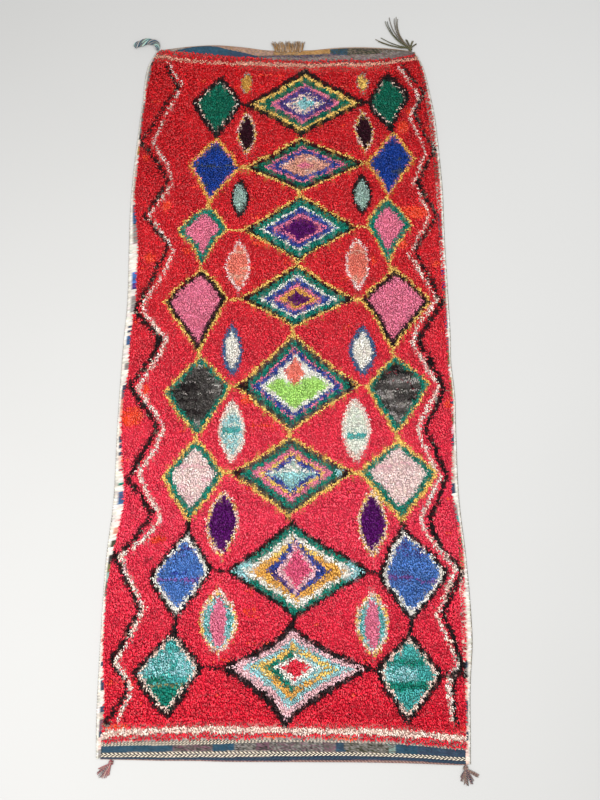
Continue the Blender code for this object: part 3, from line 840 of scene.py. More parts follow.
    def paint_accents(self, lozenge: Lozenge, accents: Sequence[Accent]) -> None:
        """The knots of other dyes in parts of a lozenge.

        Args:
            lozenge: Its sizes and bands.
            accents: What is special inside it, in the order of painting.
        """
        dx, dy = self.x - lozenge.across, self.y - lozenge.along
        for accent in accents:
            reach = lozenge.reach(self.x, self.y, accent.bulge)
            where = np.full(len(dx), True)
            for values, (least, most) in (
                (reach, accent.reach or under(lozenge.bands[-1][1])),
                (dx, accent.right),
                (dy, accent.up),
                (np.abs(dx), accent.beside),
                (self.streak, accent.streak),
                (self.draw, accent.draw),
            ):
                where &= (values > least) & (values < most)
            self.paint(where, accent.dye)

    def paint_heart(self, lozenge: Lozenge) -> None:
        """A lime heart with a salmon diamond in its cleft.

        Args:
            lozenge: The lozenge that it fills.
        """
        dx, dy = self.x - lozenge.across, self.y - lozenge.along
        cleft = 0.014 + 0.36 * np.abs(dx + 0.015)
        self.paint((lozenge.reach(self.x, self.y) < 0.49) & (dy < cleft), Dye.LIME)
        diamond = np.abs(dx + 0.012) / 0.038 + np.abs(dy - 0.058) / 0.060
        self.paint(diamond < 1.0, Dye.SALMON)

    def paint_stars(self, lozenge: Lozenge) -> None:
        """Three nested stars, the outer one violet in its lower left quarter.

        Args:
            lozenge: The lozenge that they fill.
        """
        outer, *others = STARS
        self.paint_bands(outer)
        quarter = (self.x < lozenge.across) & (self.y < lozenge.along)
        self.paint(quarter & (outer.reach(self.x, self.y) < 1.0), Dye.VIOLET)
        for star in others:
            self.paint_bands(star)

    def paint_foot(self, lozenge: Lozenge) -> None:
        """Charcoal corners on both sides of a lozenge's lower tip.

        Args:
            lozenge: The lozenge whose filling they are in.
        """
        dx, dy = self.x - lozenge.across, self.y - lozenge.along
        filling = lozenge.reach(self.x, self.y) < lozenge.bands[-1][1]
        corners = np.abs(dx + 0.010) > 0.045 + 0.3 * (dy + 0.140)
        self.paint(filling & corners & (dy < -0.055), Dye.CHARCOAL)

    def paint_leaf(self, leaf: Leaf) -> None:
        """A pointed oval with its outline and what is special inside it.

        Args:
            leaf: Its sizes and dyes.
        """
        reach = leaf.reach(self.x, self.y)
        self.paint(reach < 1.0, leaf.outline)
        filling = reach < leaf.inner_share
        self.paint(filling, leaf.filling)
        rim = (reach < 1.0) & ~filling
        pale = leaf.filling in (Dye.AQUA, Dye.PALE_SAGE)
        if leaf.outline is Dye.CREAM:
            self.paint(rim & (self.draw > 0.62), Dye.WHITE if pale else Dye.YELLOW)
        if leaf.outline is Dye.GREY:
            self.paint(rim & (self.draw > 0.60), Dye.CRIMSON)
        if leaf.filling is Dye.PINK:
            a = (self.x - leaf.across) / (0.42 * leaf.half_width)
            b = (self.y - leaf.along) / (0.72 * leaf.half_height)
            ring = filling & (a * a + b * b > 1.0)
            self.paint(ring, Dye.AQUA)
            self.paint(ring & (self.draw > 0.62), Dye.TEAL)
        up = self.y - leaf.along
        if leaf.filling is Dye.AQUA:
            self.paint(filling & (up > 0.060), Dye.PALE_SAGE)
            self.paint(filling & (self.draw > 0.70), Dye.PALE_SAGE)
            self.paint(filling & (np.abs(up - 0.004) < 0.010), Dye.TEAL)
        if leaf.filling is Dye.PALE_SAGE:
            self.paint(filling & (np.abs(up + 0.028) < 0.010), Dye.TEAL)
        if leaf.filling is Dye.SALMON:
            self.paint(filling & (self.streak > 0.5), Dye.PEACH)


@dataclass(frozen=True)
class PaintedLightOnRed:
    """How the crimson ground is painted from a deep red far off to a rosy red near by: painted shade
    darkens the far end and a painted sheen makes the near end paler.
    """

    far: Yarn = Yarn(200, 8, 20)
    middle: Yarn = Yarn(206, 30, 42)
    near: Yarn = Yarn(232, 52, 80)
    end: Yarn = Yarn(212, 20, 46)
    places: tuple[float, ...] = (1.35, 0.30, -0.60, -1.30)

    def colours(self, y: np.ndarray) -> np.ndarray:
        """The red of the ground.

        Args:
            y: Places along.

        Returns:
            The linear colour at each place.
        """
        yarns = np.array([yarn.linear() for yarn in (self.far, self.middle, self.near, self.end)])
        order = np.argsort(self.places)
        keys = np.array(self.places)[order]
        return np.stack([np.interp(y, keys, yarns[order, c]) for c in range(3)], axis=-1)


class Colouring:
    """Turns dyes into the yarns' uneven colours, with painted light on the crimson ground and painted shade
    at the far sides.
    """

    LOT_SHARE = 0.13
    CLUMP_SHARE = 0.15
    FAR_SIDE_SHADE = 0.16
    TINT_SPREAD = 0.03
    WEAR = 0.008
    WORN_TONE = 0.9

    def __init__(self, seed: int) -> None:
        """Sets the unevenness of the dye lots.

        Args:
            seed: Which draw of yarns.
        """
        self.chance = np.random.default_rng(seed)
        self.lots = Unevenness(seed + 1, 0.35, 0.013)
        self.clumps = Unevenness(seed + 2, 0.012, 0.008)
        self.fade = PaintedLightOnRed()

    def of(self, dyes: np.ndarray, x: np.ndarray, y: np.ndarray) -> np.ndarray:
        """The colour of each yarn.

        Args:
            dyes: The number of its dye.
            x: Its place across.
            y: Its place along.

        Returns:
            Linear colours, one row a yarn.
        """
        colours = DYE_COLOURS[dyes]
        red = dyes == NUMBER[Dye.CRIMSON]
        # The crimson ground takes its painted light: darker far off, paler and rosier near by.
        colours = np.where(red[:, None], self.fade.colours(y), colours)
        tone = 1.0 + DYE_SPREADS[dyes] * self.chance.normal(0, 1, len(dyes))
        tone *= 1.0 + self.LOT_SHARE * self.lots(x, y) + self.CLUMP_SHARE * self.clumps(x, y)
        # Painted shade: the far parts of both sides are made darker.
        outer = np.maximum(smooth((x - 0.15) / 0.45), smooth((-x - 0.40) / 0.18))
        tone *= 1.0 - self.FAR_SIDE_SHADE * outer * smooth((y - 0.45) / 0.60)
        tint = 1.0 + self.TINT_SPREAD * self.chance.normal(0, 1, (len(dyes), 3))
        paling = self.WEAR * np.abs(self.chance.normal(0, 1, len(dyes)))
        colours = colours * np.clip(tone, 0.45, 1.6)[:, None] * tint
        paling = paling * (0.1 + colours.max(axis=1))
        return np.clip(colours + (self.WORN_TONE - colours) * paling[:, None], 0.002, 0.95)


@dataclass
class MeshParts:
    """Vertices, faces and yarn colours that are gathered into one mesh."""

    points: list[np.ndarray] = field(default_factory=list)
    colours: list[np.ndarray] = field(default_factory=list)
    faces: list[np.ndarray] = field(default_factory=list)
    maps: list[np.ndarray] = field(default_factory=list)
    count: int = 0

    def add(
        self,
        points: np.ndarray,
        colours: np.ndarray,
        faces: Iterable[np.ndarray],
        maps: Iterable[np.ndarray] = (),
    ) -> None:
        """Adds a shape.

        Args:
            points: Its vertices, one a row.
            colours: The linear colour of each vertex.
            faces: Arrays of faces of 3 or 4 corners each, counted from its first vertex.
            maps: For each array of faces, the place of each corner on the flat map.
        """
        self.points.append(points)
        self.colours.append(colours)
        self.faces.extend(np.asarray(f, int) + self.count for f in faces)
        self.maps.extend(maps)
        self.count += len(points)

    def build(self, name: str, material: bpy.types.Material) -> bpy.types.Object:
        """Makes the piece, shaded smooth.

        Args:
            name: The piece's name.
            material: Its finish.

        Returns:
            The object, linked into the scene.
        """
        points = np.concatenate(self.points)
        colours = np.concatenate(self.colours)
        corners = np.concatenate([f.ravel() for f in self.faces])
        sizes = np.concatenate([np.full(len(f), f.shape[1]) for f in self.faces])
        starts = np.concatenate(([0], np.cumsum(sizes)[:-1]))
        mesh = bpy.data.meshes.new(name)
        mesh.vertices.add(len(points))
        mesh.vertices.foreach_set("co", points.astype(np.float32).ravel())
        mesh.loops.add(len(corners))
        mesh.loops.foreach_set("vertex_index", corners.astype(np.int32))
        mesh.polygons.add(len(sizes))
        mesh.polygons.foreach_set("loop_start", starts.astype(np.int32))
        mesh.polygons.foreach_set("loop_total", sizes.astype(np.int32))
        mesh.update(calc_edges=True)
        mesh.polygons.foreach_set("use_smooth", np.full(len(sizes), True))
        layer = mesh.color_attributes.new("dye", "FLOAT_COLOR", "POINT")
        rgba = np.concatenate((colours, np.ones((len(colours), 1))), axis=1)
        layer.data.foreach_set("color", rgba.astype(np.float32).ravel())
        if self.maps:
            flat = mesh.uv_layers.new(name="OFBake")
            places = np.concatenate([m.reshape(-1, 2) for m in self.maps])
            flat.data.foreach_set("uv", places.astype(np.float32).ravel())
        mesh.validate()
        mesh.materials.append(material)
        piece = bpy.data.objects.new(name, mesh)
        bpy.context.scene.collection.objects.link(piece)
        return piece


def unit(vectors: np.ndarray) -> np.ndarray:
    """The vectors at length 1."""
    return vectors / np.maximum(np.linalg.norm(vectors, axis=-1, keepdims=True), 1e-12)


def square_to(ahead: np.ndarray) -> tuple[np.ndarray, np.ndarray]:
    """The directions square to some headings.

    Args:
        ahead: The headings, one a row.

    Returns:
        A level direction and an upright one for each.
    """
    ahead = unit(ahead)
    side = unit(np.cross(ahead, np.array((0.0, 0.0, 1.0))))
    return side, np.cross(side, ahead)


def ring_faces(count: int, sides: int) -> list[np.ndarray]:
    """The faces of a closed tube whose points come ring after ring.

    Args:
        count: How many rings it has.
        sides: How many points each ring has.

    Returns:
        Its walls, its first end and its last end.
    """
    step = np.arange(count - 1)[:, None] * sides
    here = np.arange(sides)[None, :]
    after = (here + 1) % sides
    quads = np.stack((step + here, step + after, step + after + sides, step + here + sides), axis=-1)
    return [quads.reshape(-1, 4)[:, ::-1], here, here[:, ::-1] + (count - 1) * sides]


def tube(
    parts: MeshParts,
    path: np.ndarray,
    radii: np.ndarray,
    colours: np.ndarray,
    sides: int = 5,
    flatten: float = 1.0,
) -> None:
    """Adds a closed tube along a path.

    Args:
        parts: The mesh that it joins.
        path: Its middle line, one point a row.
        radii: Its radius at each point.
        colours: Its colour, one for all or one for each point.
        sides: How many sides it has.
        flatten: Its height as a share of its width.
    """
    side, up = square_to(np.gradient(path, axis=0))
    angles = 2 * math.pi * (np.arange(sides) + 0.5) / sides
    ring = np.cos(angles)[None, :, None] * side[:, None]
    ring = ring + flatten * np.sin(angles)[None, :, None] * up[:, None]
    points = (path[:, None] + ring * np.asarray(radii)[:, None, None]).reshape(-1, 3)
    tones = np.repeat(np.broadcast_to(colours, (len(path), 3)), sides, axis=0)
    parts.add(points, tones, ring_faces(len(path), sides))


def twisted_yarn(
    parts: MeshParts,
    path: np.ndarray,
    radius: np.ndarray,
    turn: float,
    colours: Sequence[np.ndarray],
    sides: int = 3,
    steps: int = 6,
    flatten: float = 1.0,
    phase: float = 0.0,
) -> None:
    """Adds a yarn of plies that wind round each other.

    Args:
        parts: The mesh that it joins.
        path: Its middle line, one point a row.
        radius: Its own radius, one for all or one for each point of the path.
        turn: The length of one full turn, negative for the other hand.
        colours: One colour for each ply.
        sides: The sides of each ply.
        steps: Rings in one turn.
        flatten: Its height as a share of its width.
        phase: Where the first ply starts, in radians.
    """
    gone = np.concatenate(([0.0], np.cumsum(np.linalg.norm(np.diff(path, axis=0), axis=1))))
    count = max(int(gone[-1] / abs(turn) * steps), 4)
    at = np.linspace(0, gone[-1], count)
    line = np.stack([np.interp(at, gone, path[:, c]) for c in range(3)], axis=-1)
    wide = np.interp(at, gone, np.broadcast_to(radius, len(path)))
    side, up = square_to(np.gradient(line, axis=0))
    plies = len(colours)
    ply_share = 0.54 if plies == 2 else 0.48
    for ply, colour in enumerate(colours):
        angle = phase + 2 * math.pi * (at / turn + ply / plies)
        swing = np.cos(angle)[:, None] * side + flatten * np.sin(angle)[:, None] * up
        offset = swing * (wide * (1 - ply_share))[:, None]
        tube(parts, line + offset, wide * ply_share, colour, sides, flatten)


class ShaderNodes:
    """Adds nodes to one node tree and joins them."""

    def __init__(self, tree: bpy.types.NodeTree) -> None:
        """Keeps the tree."""
        self.tree = tree

    def add(self, kind: str, **settings: object) -> bpy.types.Node:
        """Adds a node.

        Args:
            kind: Its type, without the leading ShaderNode.
            settings: Its properties, or with a leading "in_" its sockets' values.

        Returns:
            The node.
        """
        node = self.tree.nodes.new("ShaderNode" + kind)
        for name, value in settings.items():
            if name.startswith("in_"):
                node.inputs[name[3:].replace("_", " ")].default_value = value
            else:
                setattr(node, name, value)
        return node

    def join(self, output: bpy.types.NodeSocket, target: bpy.types.NodeSocket) -> None:
        """Links an output to an input."""
        self.tree.links.new(output, target)

    def math(self, operation: str, first: object, second: object) -> bpy.types.NodeSocket:
        """Adds a Math node.

        Args:
            operation: What it does.
            first: A socket or a number.
            second: Another.

        Returns:
            The socket with its result.
        """
        node = self.add("Math", operation=operation)
        for socket, value in zip(node.inputs, (first, second)):
            if isinstance(value, bpy.types.NodeSocket):
                self.join(value, socket)
            else:
                socket.default_value = value
        return node.outputs[0]


def new_group(
    name: str, inputs: dict[str, object], outputs: dict[str, str]
) -> tuple[bpy.types.NodeTree, ShaderNodes]:
    """Starts a shader node group with named sockets.

    Args:
        name: The group's name.
        inputs: Each input's default value: a number, or a tuple for a colour.
        outputs: Each output's socket type.

    Returns:
        The group and the helper that fills it.
    """
    group = bpy.data.node_groups.new(name, "ShaderNodeTree")
    for label, value in inputs.items():
        kind = "NodeSocketColor" if isinstance(value, tuple) else "NodeSocketFloat"
        socket = group.interface.new_socket(label, in_out="INPUT", socket_type=kind)
        socket.default_value = value
    for label, kind in outputs.items():
        group.interface.new_socket(label, in_out="OUTPUT", socket_type=kind)
    return group, ShaderNodes(group)


def yarn_fibre_group() -> bpy.types.NodeTree:
    """The fibres of a spun yarn: uneven colour, uneven roughness and a fine relief.

    Returns:
        The group.
    """
    group, nodes = new_group(
        "yarn_fibres",
        {"Colour": (0.5, 0.5, 0.5, 1.0), "Fibre Scale": 700.0, "Contrast": 0.3, "Base Roughness": 0.85},
        {"Colour": "NodeSocketColor", "Roughness": "NodeSocketFloat", "Height": "NodeSocketFloat"},
    )
    given = nodes.tree.nodes.new("NodeGroupInput")
    result = nodes.tree.nodes.new("NodeGroupOutput")
    place = nodes.add("TexCoord")
    fine = nodes.add("TexNoise", in_Detail=3.0, in_Roughness=0.6)
    nodes.join(place.outputs["Object"], fine.inputs["Vector"])
    nodes.join(given.outputs["Fibre Scale"], fine.inputs["Scale"])
    coarse = nodes.add("TexNoise", in_Scale=38.0, in_Detail=2.0, in_Roughness=0.5)
    nodes.join(place.outputs["Object"], coarse.inputs["Vector"])
    fine_part = nodes.math("SUBTRACT", fine.outputs["Fac"], 0.5)
    coarse_part = nodes.math("MULTIPLY", nodes.math("SUBTRACT", coarse.outputs["Fac"], 0.5), 0.6)
    both = nodes.math("ADD", fine_part, coarse_part)
    swing = nodes.math("MULTIPLY", both, given.outputs["Contrast"])
    factor = nodes.math("ADD", nodes.math("MULTIPLY", swing, 2.0), 1.0)
    scaled = nodes.add("VectorMath", operation="SCALE")
    nodes.join(given.outputs["Colour"], scaled.inputs[0])
    nodes.join(factor, scaled.inputs["Scale"])
    nodes.join(scaled.outputs[0], result.inputs["Colour"])
    rough = nodes.math("ADD", given.outputs["Base Roughness"], nodes.math("MULTIPLY", fine_part, 0.25))
    nodes.join(rough, result.inputs["Roughness"])
    nodes.join(fine.outputs["Fac"], result.inputs["Height"])
    return group


def weave_relief_group() -> bpy.types.NodeTree:
    """Ribs of weft that run across the rug, crossed by warps at a wider pitch, with painted shade in their
    hollows and painted light on their ribs.

    Returns:
        The group.
    """
    group, nodes = new_group(
        "weave_relief",
        {"Weft Pitch": 0.0028, "Warp Pitch": 0.0050},
        {"Height": "NodeSocketFloat", "Shade": "NodeSocketFloat"},
    )
    given = nodes.tree.nodes.new("NodeGroupInput")
    result = nodes.tree.nodes.new("NodeGroupOutput")
    place = nodes.add("TexCoord")
    split = nodes.add("SeparateXYZ")
    nodes.join(place.outputs["Object"], split.inputs[0])
    warp_turn = nodes.math("DIVIDE", split.outputs["X"], given.outputs["Warp Pitch"])
    weft_turn = nodes.math("DIVIDE", split.outputs["Y"], given.outputs["Weft Pitch"])
    warp = nodes.math("SINE", nodes.math("MULTIPLY", warp_turn, 2 * math.pi), 0.0)
    shifted = nodes.math("ADD", weft_turn, nodes.math("MULTIPLY", warp, 0.22))
    weft = nodes.math("SINE", nodes.math("MULTIPLY", shifted, 2 * math.pi), 0.0)
    height = nodes.math("ADD", nodes.math("MULTIPLY", weft, 0.35), nodes.math("MULTIPLY", warp, 0.15))
    nodes.join(nodes.math("ADD", height, 0.5), result.inputs["Height"])
    # Painted shade: the colour is made darker in the hollows of the weave and lighter on its ribs.
    nodes.join(nodes.math("ADD", nodes.math("MULTIPLY", height, 0.35), 1.0), result.inputs["Shade"])
    return group


@dataclass(frozen=True)
class YarnFinish:
    """A finish of dyed yarn, whose colour each vertex carries."""

    name: str
    fibre_scale: float = 700.0
    contrast: float = 0.30
    roughness: float = 0.86
    relief: float = 0.5
    relief_depth: float = 0.0006
    sheen: float = 0.15
    weave: float = 0.0
    weft_pitch: float = 0.0028
    warp_pitch: float = 0.0050

    def material(self) -> bpy.types.Material:
        """Makes the material.

        Returns:
            The material, with the fibre group and, on flat weave, the weave group.
        """
        material = bpy.data.materials.new(self.name)
        material.use_nodes = True
        nodes = ShaderNodes(material.node_tree)
        shader = material.node_tree.nodes["Principled BSDF"]
        shader.inputs["Sheen Weight"].default_value = self.sheen
        shader.inputs["Sheen Roughness"].default_value = 0.55
        shader.inputs["Specular IOR Level"].default_value = 0.06
        dye = nodes.add("Attribute", attribute_name="dye")
        fibres = nodes.add("Group", node_tree=FibreGroups.fibres)
        fibres.inputs["Fibre Scale"].default_value = self.fibre_scale
        fibres.inputs["Contrast"].default_value = self.contrast
        fibres.inputs["Base Roughness"].default_value = self.roughness
        nodes.join(dye.outputs["Color"], fibres.inputs["Colour"])
        colour, height = fibres.outputs["Colour"], fibres.outputs["Height"]
        if self.weave:
            weave = nodes.add("Group", node_tree=FibreGroups.weave)
            weave.inputs["Weft Pitch"].default_value = self.weft_pitch
            weave.inputs["Warp Pitch"].default_value = self.warp_pitch
            # The weave's painted shade darkens the colour in its hollows and lightens it on its ribs.
            shaded = nodes.add("VectorMath", operation="SCALE")
            nodes.join(colour, shaded.inputs[0])
            nodes.join(weave.outputs["Shade"], shaded.inputs["Scale"])
            colour = shaded.outputs[0]
            woven = nodes.math("MULTIPLY", weave.outputs["Height"], self.weave)
            height = nodes.math("ADD", woven, nodes.math("MULTIPLY", height, 1.0 - self.weave))
        nodes.join(colour, shader.inputs["Base Color"])
        nodes.join(fibres.outputs["Roughness"], shader.inputs["Roughness"])
        bump = nodes.add("Bump", in_Strength=self.relief, in_Distance=self.relief_depth)
        nodes.join(height, bump.inputs["Height"])
        nodes.join(bump.outputs["Normal"], shader.inputs["Normal"])
        return material


class FibreGroups:
    """The node groups that the finishes share, made once."""

    fibres = yarn_fibre_group()
    weave = weave_relief_group()


PILE_YARN = YarnFinish("knotted_pile_yarn", fibre_scale=520.0, contrast=0.30, sheen=0.01)
FLAT_WEAVE = YarnFinish("flat_woven_ends", weave=0.7, relief=0.8, relief_depth=0.0010, sheen=0.04)
TWINED_YARN = YarnFinish("twined_yarn", fibre_scale=900.0, sheen=0.04)
SELVEDGE_YARN = YarnFinish("overcast_selvedge_yarn", fibre_scale=900.0, sheen=0.04)
CORNER_YARN = YarnFinish("corner_yarn_ends", fibre_scale=1100.0, sheen=0.04)
WARP_YARN = YarnFinish("uncut_warp_ends", fibre_scale=1200.0, sheen=0.04)


def dress(piece: bpy.types.Object, slot: str, *nodes: str) -> bpy.types.Object:
    """Fixes a piece to the rug, hides the CAD nodes that it stands for and logs its triangles.

    Args:
        piece: The piece.
        slot: Not used.
        nodes: The CAD nodes that it stands for.

    Returns:
        The same piece.
    """
    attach(piece, BODY)
    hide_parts(*nodes)
    faces = sum(len(p.vertices) - 2 for p in piece.data.polygons)
    log.info("%s: %d triangles", piece.name, faces)
    return piece


@dataclass(frozen=True)
class Knots:
    """Some knots of the pile, one a row."""

    x: np.ndarray
    y: np.ndarray
    height: np.ndarray
    heading: np.ndarray
    colours: np.ndarray

    def some(self, where: np.ndarray) -> "Knots":
        """Those of them that are picked."""
        return Knots(*(getattr(self, column.name)[where] for column in fields(self)))


def tuft_maps(count: int, number: int) -> list[np.ndarray]:
    """The flat maps of yarn ends, each in half a cell of its own.

    Args:
        count: How many yarn ends there are.
        number: Which half of its cell each takes, 0 or 1.

    Returns:
        The places of the corners of the lower faces and of the upper faces.
    """
    across = np.ceil(np.sqrt(count)).astype(int)
    cell = np.stack((np.arange(count) % across, np.arange(count) // across), axis=-1)
    origin = (cell + np.array((0.04 + 0.48 * number, 0.04)))[:, None, None]
    scale = np.array((0.44, 0.92))
    low = np.array([[((s + 0.5) / 3, 0), ((s + 1) / 3, 0.44), (s / 3, 0.44)] for s in range(3)])
    high = np.array([[(s / 3, 0.50), ((s + 1) / 3, 0.50), ((s + 0.5) / 3, 1.0)] for s in range(3)])
    return [((origin + m * scale) / across).reshape(-1, 3, 2) for m in (low, high)]


@dataclass
class KnottedPile:
    """The knotted pile: rows of knots with two cut yarn ends each."""

    shape: ClothShape
    finish: YarnFinish = PILE_YARN
    columns: int = 168
    rows: int = 326
    sections: tuple[str, ...] = (
        "pile_far", "pile_far_middle", "pile_middle", "pile_near_middle", "pile_near",
    )
    root_height: float = 0.0030
    end_radius: float = 0.0029
    lean: float = 0.0100
    ends_apart: float = 0.0019
    seen_share: float = 0.55
    ragged: float = 0.0018
    # Some tips are paler: partly real wear, partly a painted highlight.
    tip_wear_and_highlight: float = 0.30
    lean_heading: float = math.radians(-80)
    near_inset: float = 0.0095
    near_reach: float = 0.005
    tooth: float = 0.0215
    column_jitter: float = 0.22
    row_jitter: float = 0.26
    row_waver: float = 0.45
    root_jitter: float = 0.0009
    height_jitter: float = 0.0009
    lean_drift: float = math.radians(34)
    lean_jitter: float = math.radians(27)
    splay: float = math.radians(12)
    splay_jitter: float = math.radians(15)
    lean_spread: float = 0.22
    size_spread: float = 0.14
    tone_spread: float = 0.09
    knee_reach: float = 0.34
    knee_height: float = 0.80
    # Painted shade and highlight along each yarn end: darkest at its root, as shade between the knots, then
    # its knee, then lightest at its tip, as a highlight.
    painted_shade_to_highlight: tuple[float, ...] = (0.34, 0.84, 0.84, 0.84, 1.26)
    wear_and_highlight_tone: tuple[float, ...] = (0.90, 0.80, 0.76)
    far_inset: float = -0.0060

    def build(self) -> list[bpy.types.Object]:
        """Makes the pile in sections from the far end to the near end.

        Returns:
            The pieces.
        """
        chance = np.random.default_rng(21)
        material = self.finish.material()
        row, column = np.meshgrid(np.arange(self.rows), np.arange(self.columns), indexing="ij")
        row, column = row.ravel(), column.ravel()
        count = len(row)
        waver = Unevenness(22, 0.09, 0.5)
        staggered = column + 0.5 * (row % 2) + 0.25
        u = (staggered + chance.normal(0, self.column_jitter, count)) / self.columns
        v = (row + 0.5 + chance.normal(0, self.row_jitter, count)) / self.rows
        v = v + self.row_waver / self.rows * waver(u, v * 2.7)
        x, y = self.shape.spot(
            np.clip(u, 0.002, 0.998), np.clip(v, 0, 1),
            self.near_line, lambda across: self.shape.far_pile(across) - self.far_inset,
        )
        x = x + (self.shape.inward[-1](y) - self.shape.outward[-1](y)) * (1 - u)
        x = x + (self.shape.outward[1](y) - self.shape.inward[1](y)) * u
        heading = self.headings(x, y, u, chance)
        seen = self.seen_share * self.lean
        step = chance.normal(0, self.ragged, self.rows)[row]
        seen_x = x + seen * np.cos(self.lean_heading) + step
        seen_y = y + seen * np.sin(self.lean_heading)
        colours = Colouring(31).of(Chart().knots(seen_x, seen_y), x, y)
        height = self.shape.pile_height(x, y) + chance.normal(0, self.height_jitter, count)
        knots = Knots(x, y, height, heading, colours)
        pieces = []
        bounds = np.linspace(self.rows, 0, len(self.sections) + 1).astype(int)
        for name, high, low in zip(self.sections, bounds, bounds[1:]):
            parts = MeshParts()
            self.add_ends(parts, knots.some((row >= low) & (row < high)), chance)
            pieces.append(dress(parts.build(name, material), "pile", "rug"))
        return pieces

    def near_line(self, across: np.ndarray) -> np.ndarray:
        """Where the knots end near by, a little further out on the right."""
        reach = self.near_reach * smooth((across - 0.35) / 0.15)
        return self.shape.near_pile(across) + self.near_inset - reach

    def headings(
        self, x: np.ndarray, y: np.ndarray, u: np.ndarray, chance: np.random.Generator
    ) -> np.ndarray:
        """The way each knot leans.

        Args:
            x: Places across.
            y: Places along.
            u: Shares of the width.
            chance: The draw.

        Returns:
            The heading of each knot in radians.
        """
        drift = Unevenness(23, 0.16, 0.12)(x, y)
        heading = self.lean_heading + self.lean_drift * drift
        heading = heading + chance.normal(0, self.lean_jitter, len(x))
        teeth = 0.5 + 0.5 * np.sin(2 * math.pi * y / self.tooth)
        rim = smooth((np.abs(u - 0.5) - 0.485) / 0.012)
        outward = np.where(u < 0.5, math.radians(-155), math.radians(-25))
        return heading + (outward - heading) * rim * (0.35 + 0.55 * teeth)

    def add_ends(self, parts: MeshParts, knots: Knots, chance: np.random.Generator) -> None:
        """Adds both yarn ends of each knot.

        Args:
            parts: The mesh that they join.
            knots: The knots.
            chance: The draw.
        """
        count = len(knots.x)
        for number, side in enumerate((-1.0, 1.0)):
            turn = knots.heading + side * self.splay + chance.normal(0, self.splay_jitter, count)
            way = np.stack((np.cos(turn), np.sin(turn)), axis=-1)
            beside = np.stack((-np.sin(knots.heading), np.cos(knots.heading)), axis=-1)
            root = np.stack((knots.x, knots.y), axis=-1) + beside * (side * self.ends_apart)
            root = root + chance.normal(0, self.root_jitter, (count, 2))
            reach = self.lean * (1 + chance.normal(0, self.lean_spread, count))
            top = knots.height - np.abs(chance.normal(0, self.height_jitter, count))
            knee = root + way * (reach * self.knee_reach)[:, None]
            knee = np.concatenate((knee, (knots.height * self.knee_height)[:, None]), axis=1)
            tip = np.concatenate((root + way * reach[:, None], top[:, None]), axis=1)
            base = np.concatenate((root, np.full((count, 1), self.root_height)), axis=1)
            self.add_tufts(parts, (base, knee, tip), knots.colours, tuft_maps(count, number), chance)

    def add_tufts(
        self,
        parts: MeshParts,
        places: tuple[np.ndarray, np.ndarray, np.ndarray],
        colours: np.ndarray,
        maps: list[np.ndarray],
        chance: np.random.Generator,
    ) -> None:
        """Adds one closed yarn end for each knot, widest where it bends over, with painted shade at its
        root and a painted highlight at its tip.

        Args:
            parts: The mesh that they join.
            places: Where they are rooted, where they bend over and where they end.
            colours: Their colours.
            maps: Their flat maps.
            chance: The draw.
        """
        base, knee, tip = places
        count = len(base)
        roll = chance.uniform(0, 2 * math.pi, count)
        side, up = square_to(tip - knee)
        size = self.end_radius * (1 + chance.normal(0, self.size_spread, count))
        angles = roll[:, None] + 2 * math.pi * np.arange(3) / 3
        ring = np.cos(angles)[..., None] * side[:, None] + np.sin(angles)[..., None] * up[:, None]
        ring = knee[:, None] + ring * size[:, None, None]
        points = np.concatenate((base[:, None], ring, tip[:, None]), axis=1).reshape(-1, 3)
        tone = (1 + chance.normal(0, self.tone_spread, count))[:, None]
        # Painted shade darkens each root and a painted highlight lightens each tip.
        tones = (colours * tone)[:, None] * np.array(self.painted_shade_to_highlight)[:, None]
        # Some tips are made paler still: partly real wear, partly a painted highlight.
        paling = (self.tip_wear_and_highlight * chance.random(count) ** 2 * (0.1 + colours.max(axis=1)))[:, None]
        tones[:, 4] += (np.array(self.wear_and_highlight_tone) - tones[:, 4]) * paling
        start = (np.arange(count) * 5)[:, None, None]
        low = start + np.array(((0, 2, 1), (0, 3, 2), (0, 1, 3)))
        high = start + np.array(((1, 2, 4), (2, 3, 4), (3, 1, 4)))
        faces = (low.reshape(-1, 3), high.reshape(-1, 3))
        parts.add(points, np.clip(tones.reshape(-1, 3), 0, 1), faces, maps)


def dye_colour(dye: Dye, shade: float = 1.0) -> np.ndarray:
    """The linear colour of a dye, made darker or lighter."""
    return dye.value.linear() * shade


Blocks = tuple[tuple[float, tuple[Dye, ...]], ...]


def fill_blocks(
    found: np.ndarray, x: np.ndarray, where: np.ndarray, blocks: Blocks, chance: np.random.Generator
) -> None:
    """Draws the dyes of a strip, block after block from the left.

    Args:
        found: The dyes' numbers, which it changes.
        x: Places across.
        where: Which places are in the strip.
        blocks: Where each block ends and the dyes it is mixed from.
        chance: The draw.
    """
    start = -np.inf
    for end, mix in blocks:
        here = np.flatnonzero(where & (x > start) & (x <= end))
        numbers = np.array([NUMBER[dye] for dye in mix])
        found[here] = numbers[chance.integers(0, len(mix), len(here))]
        start = end


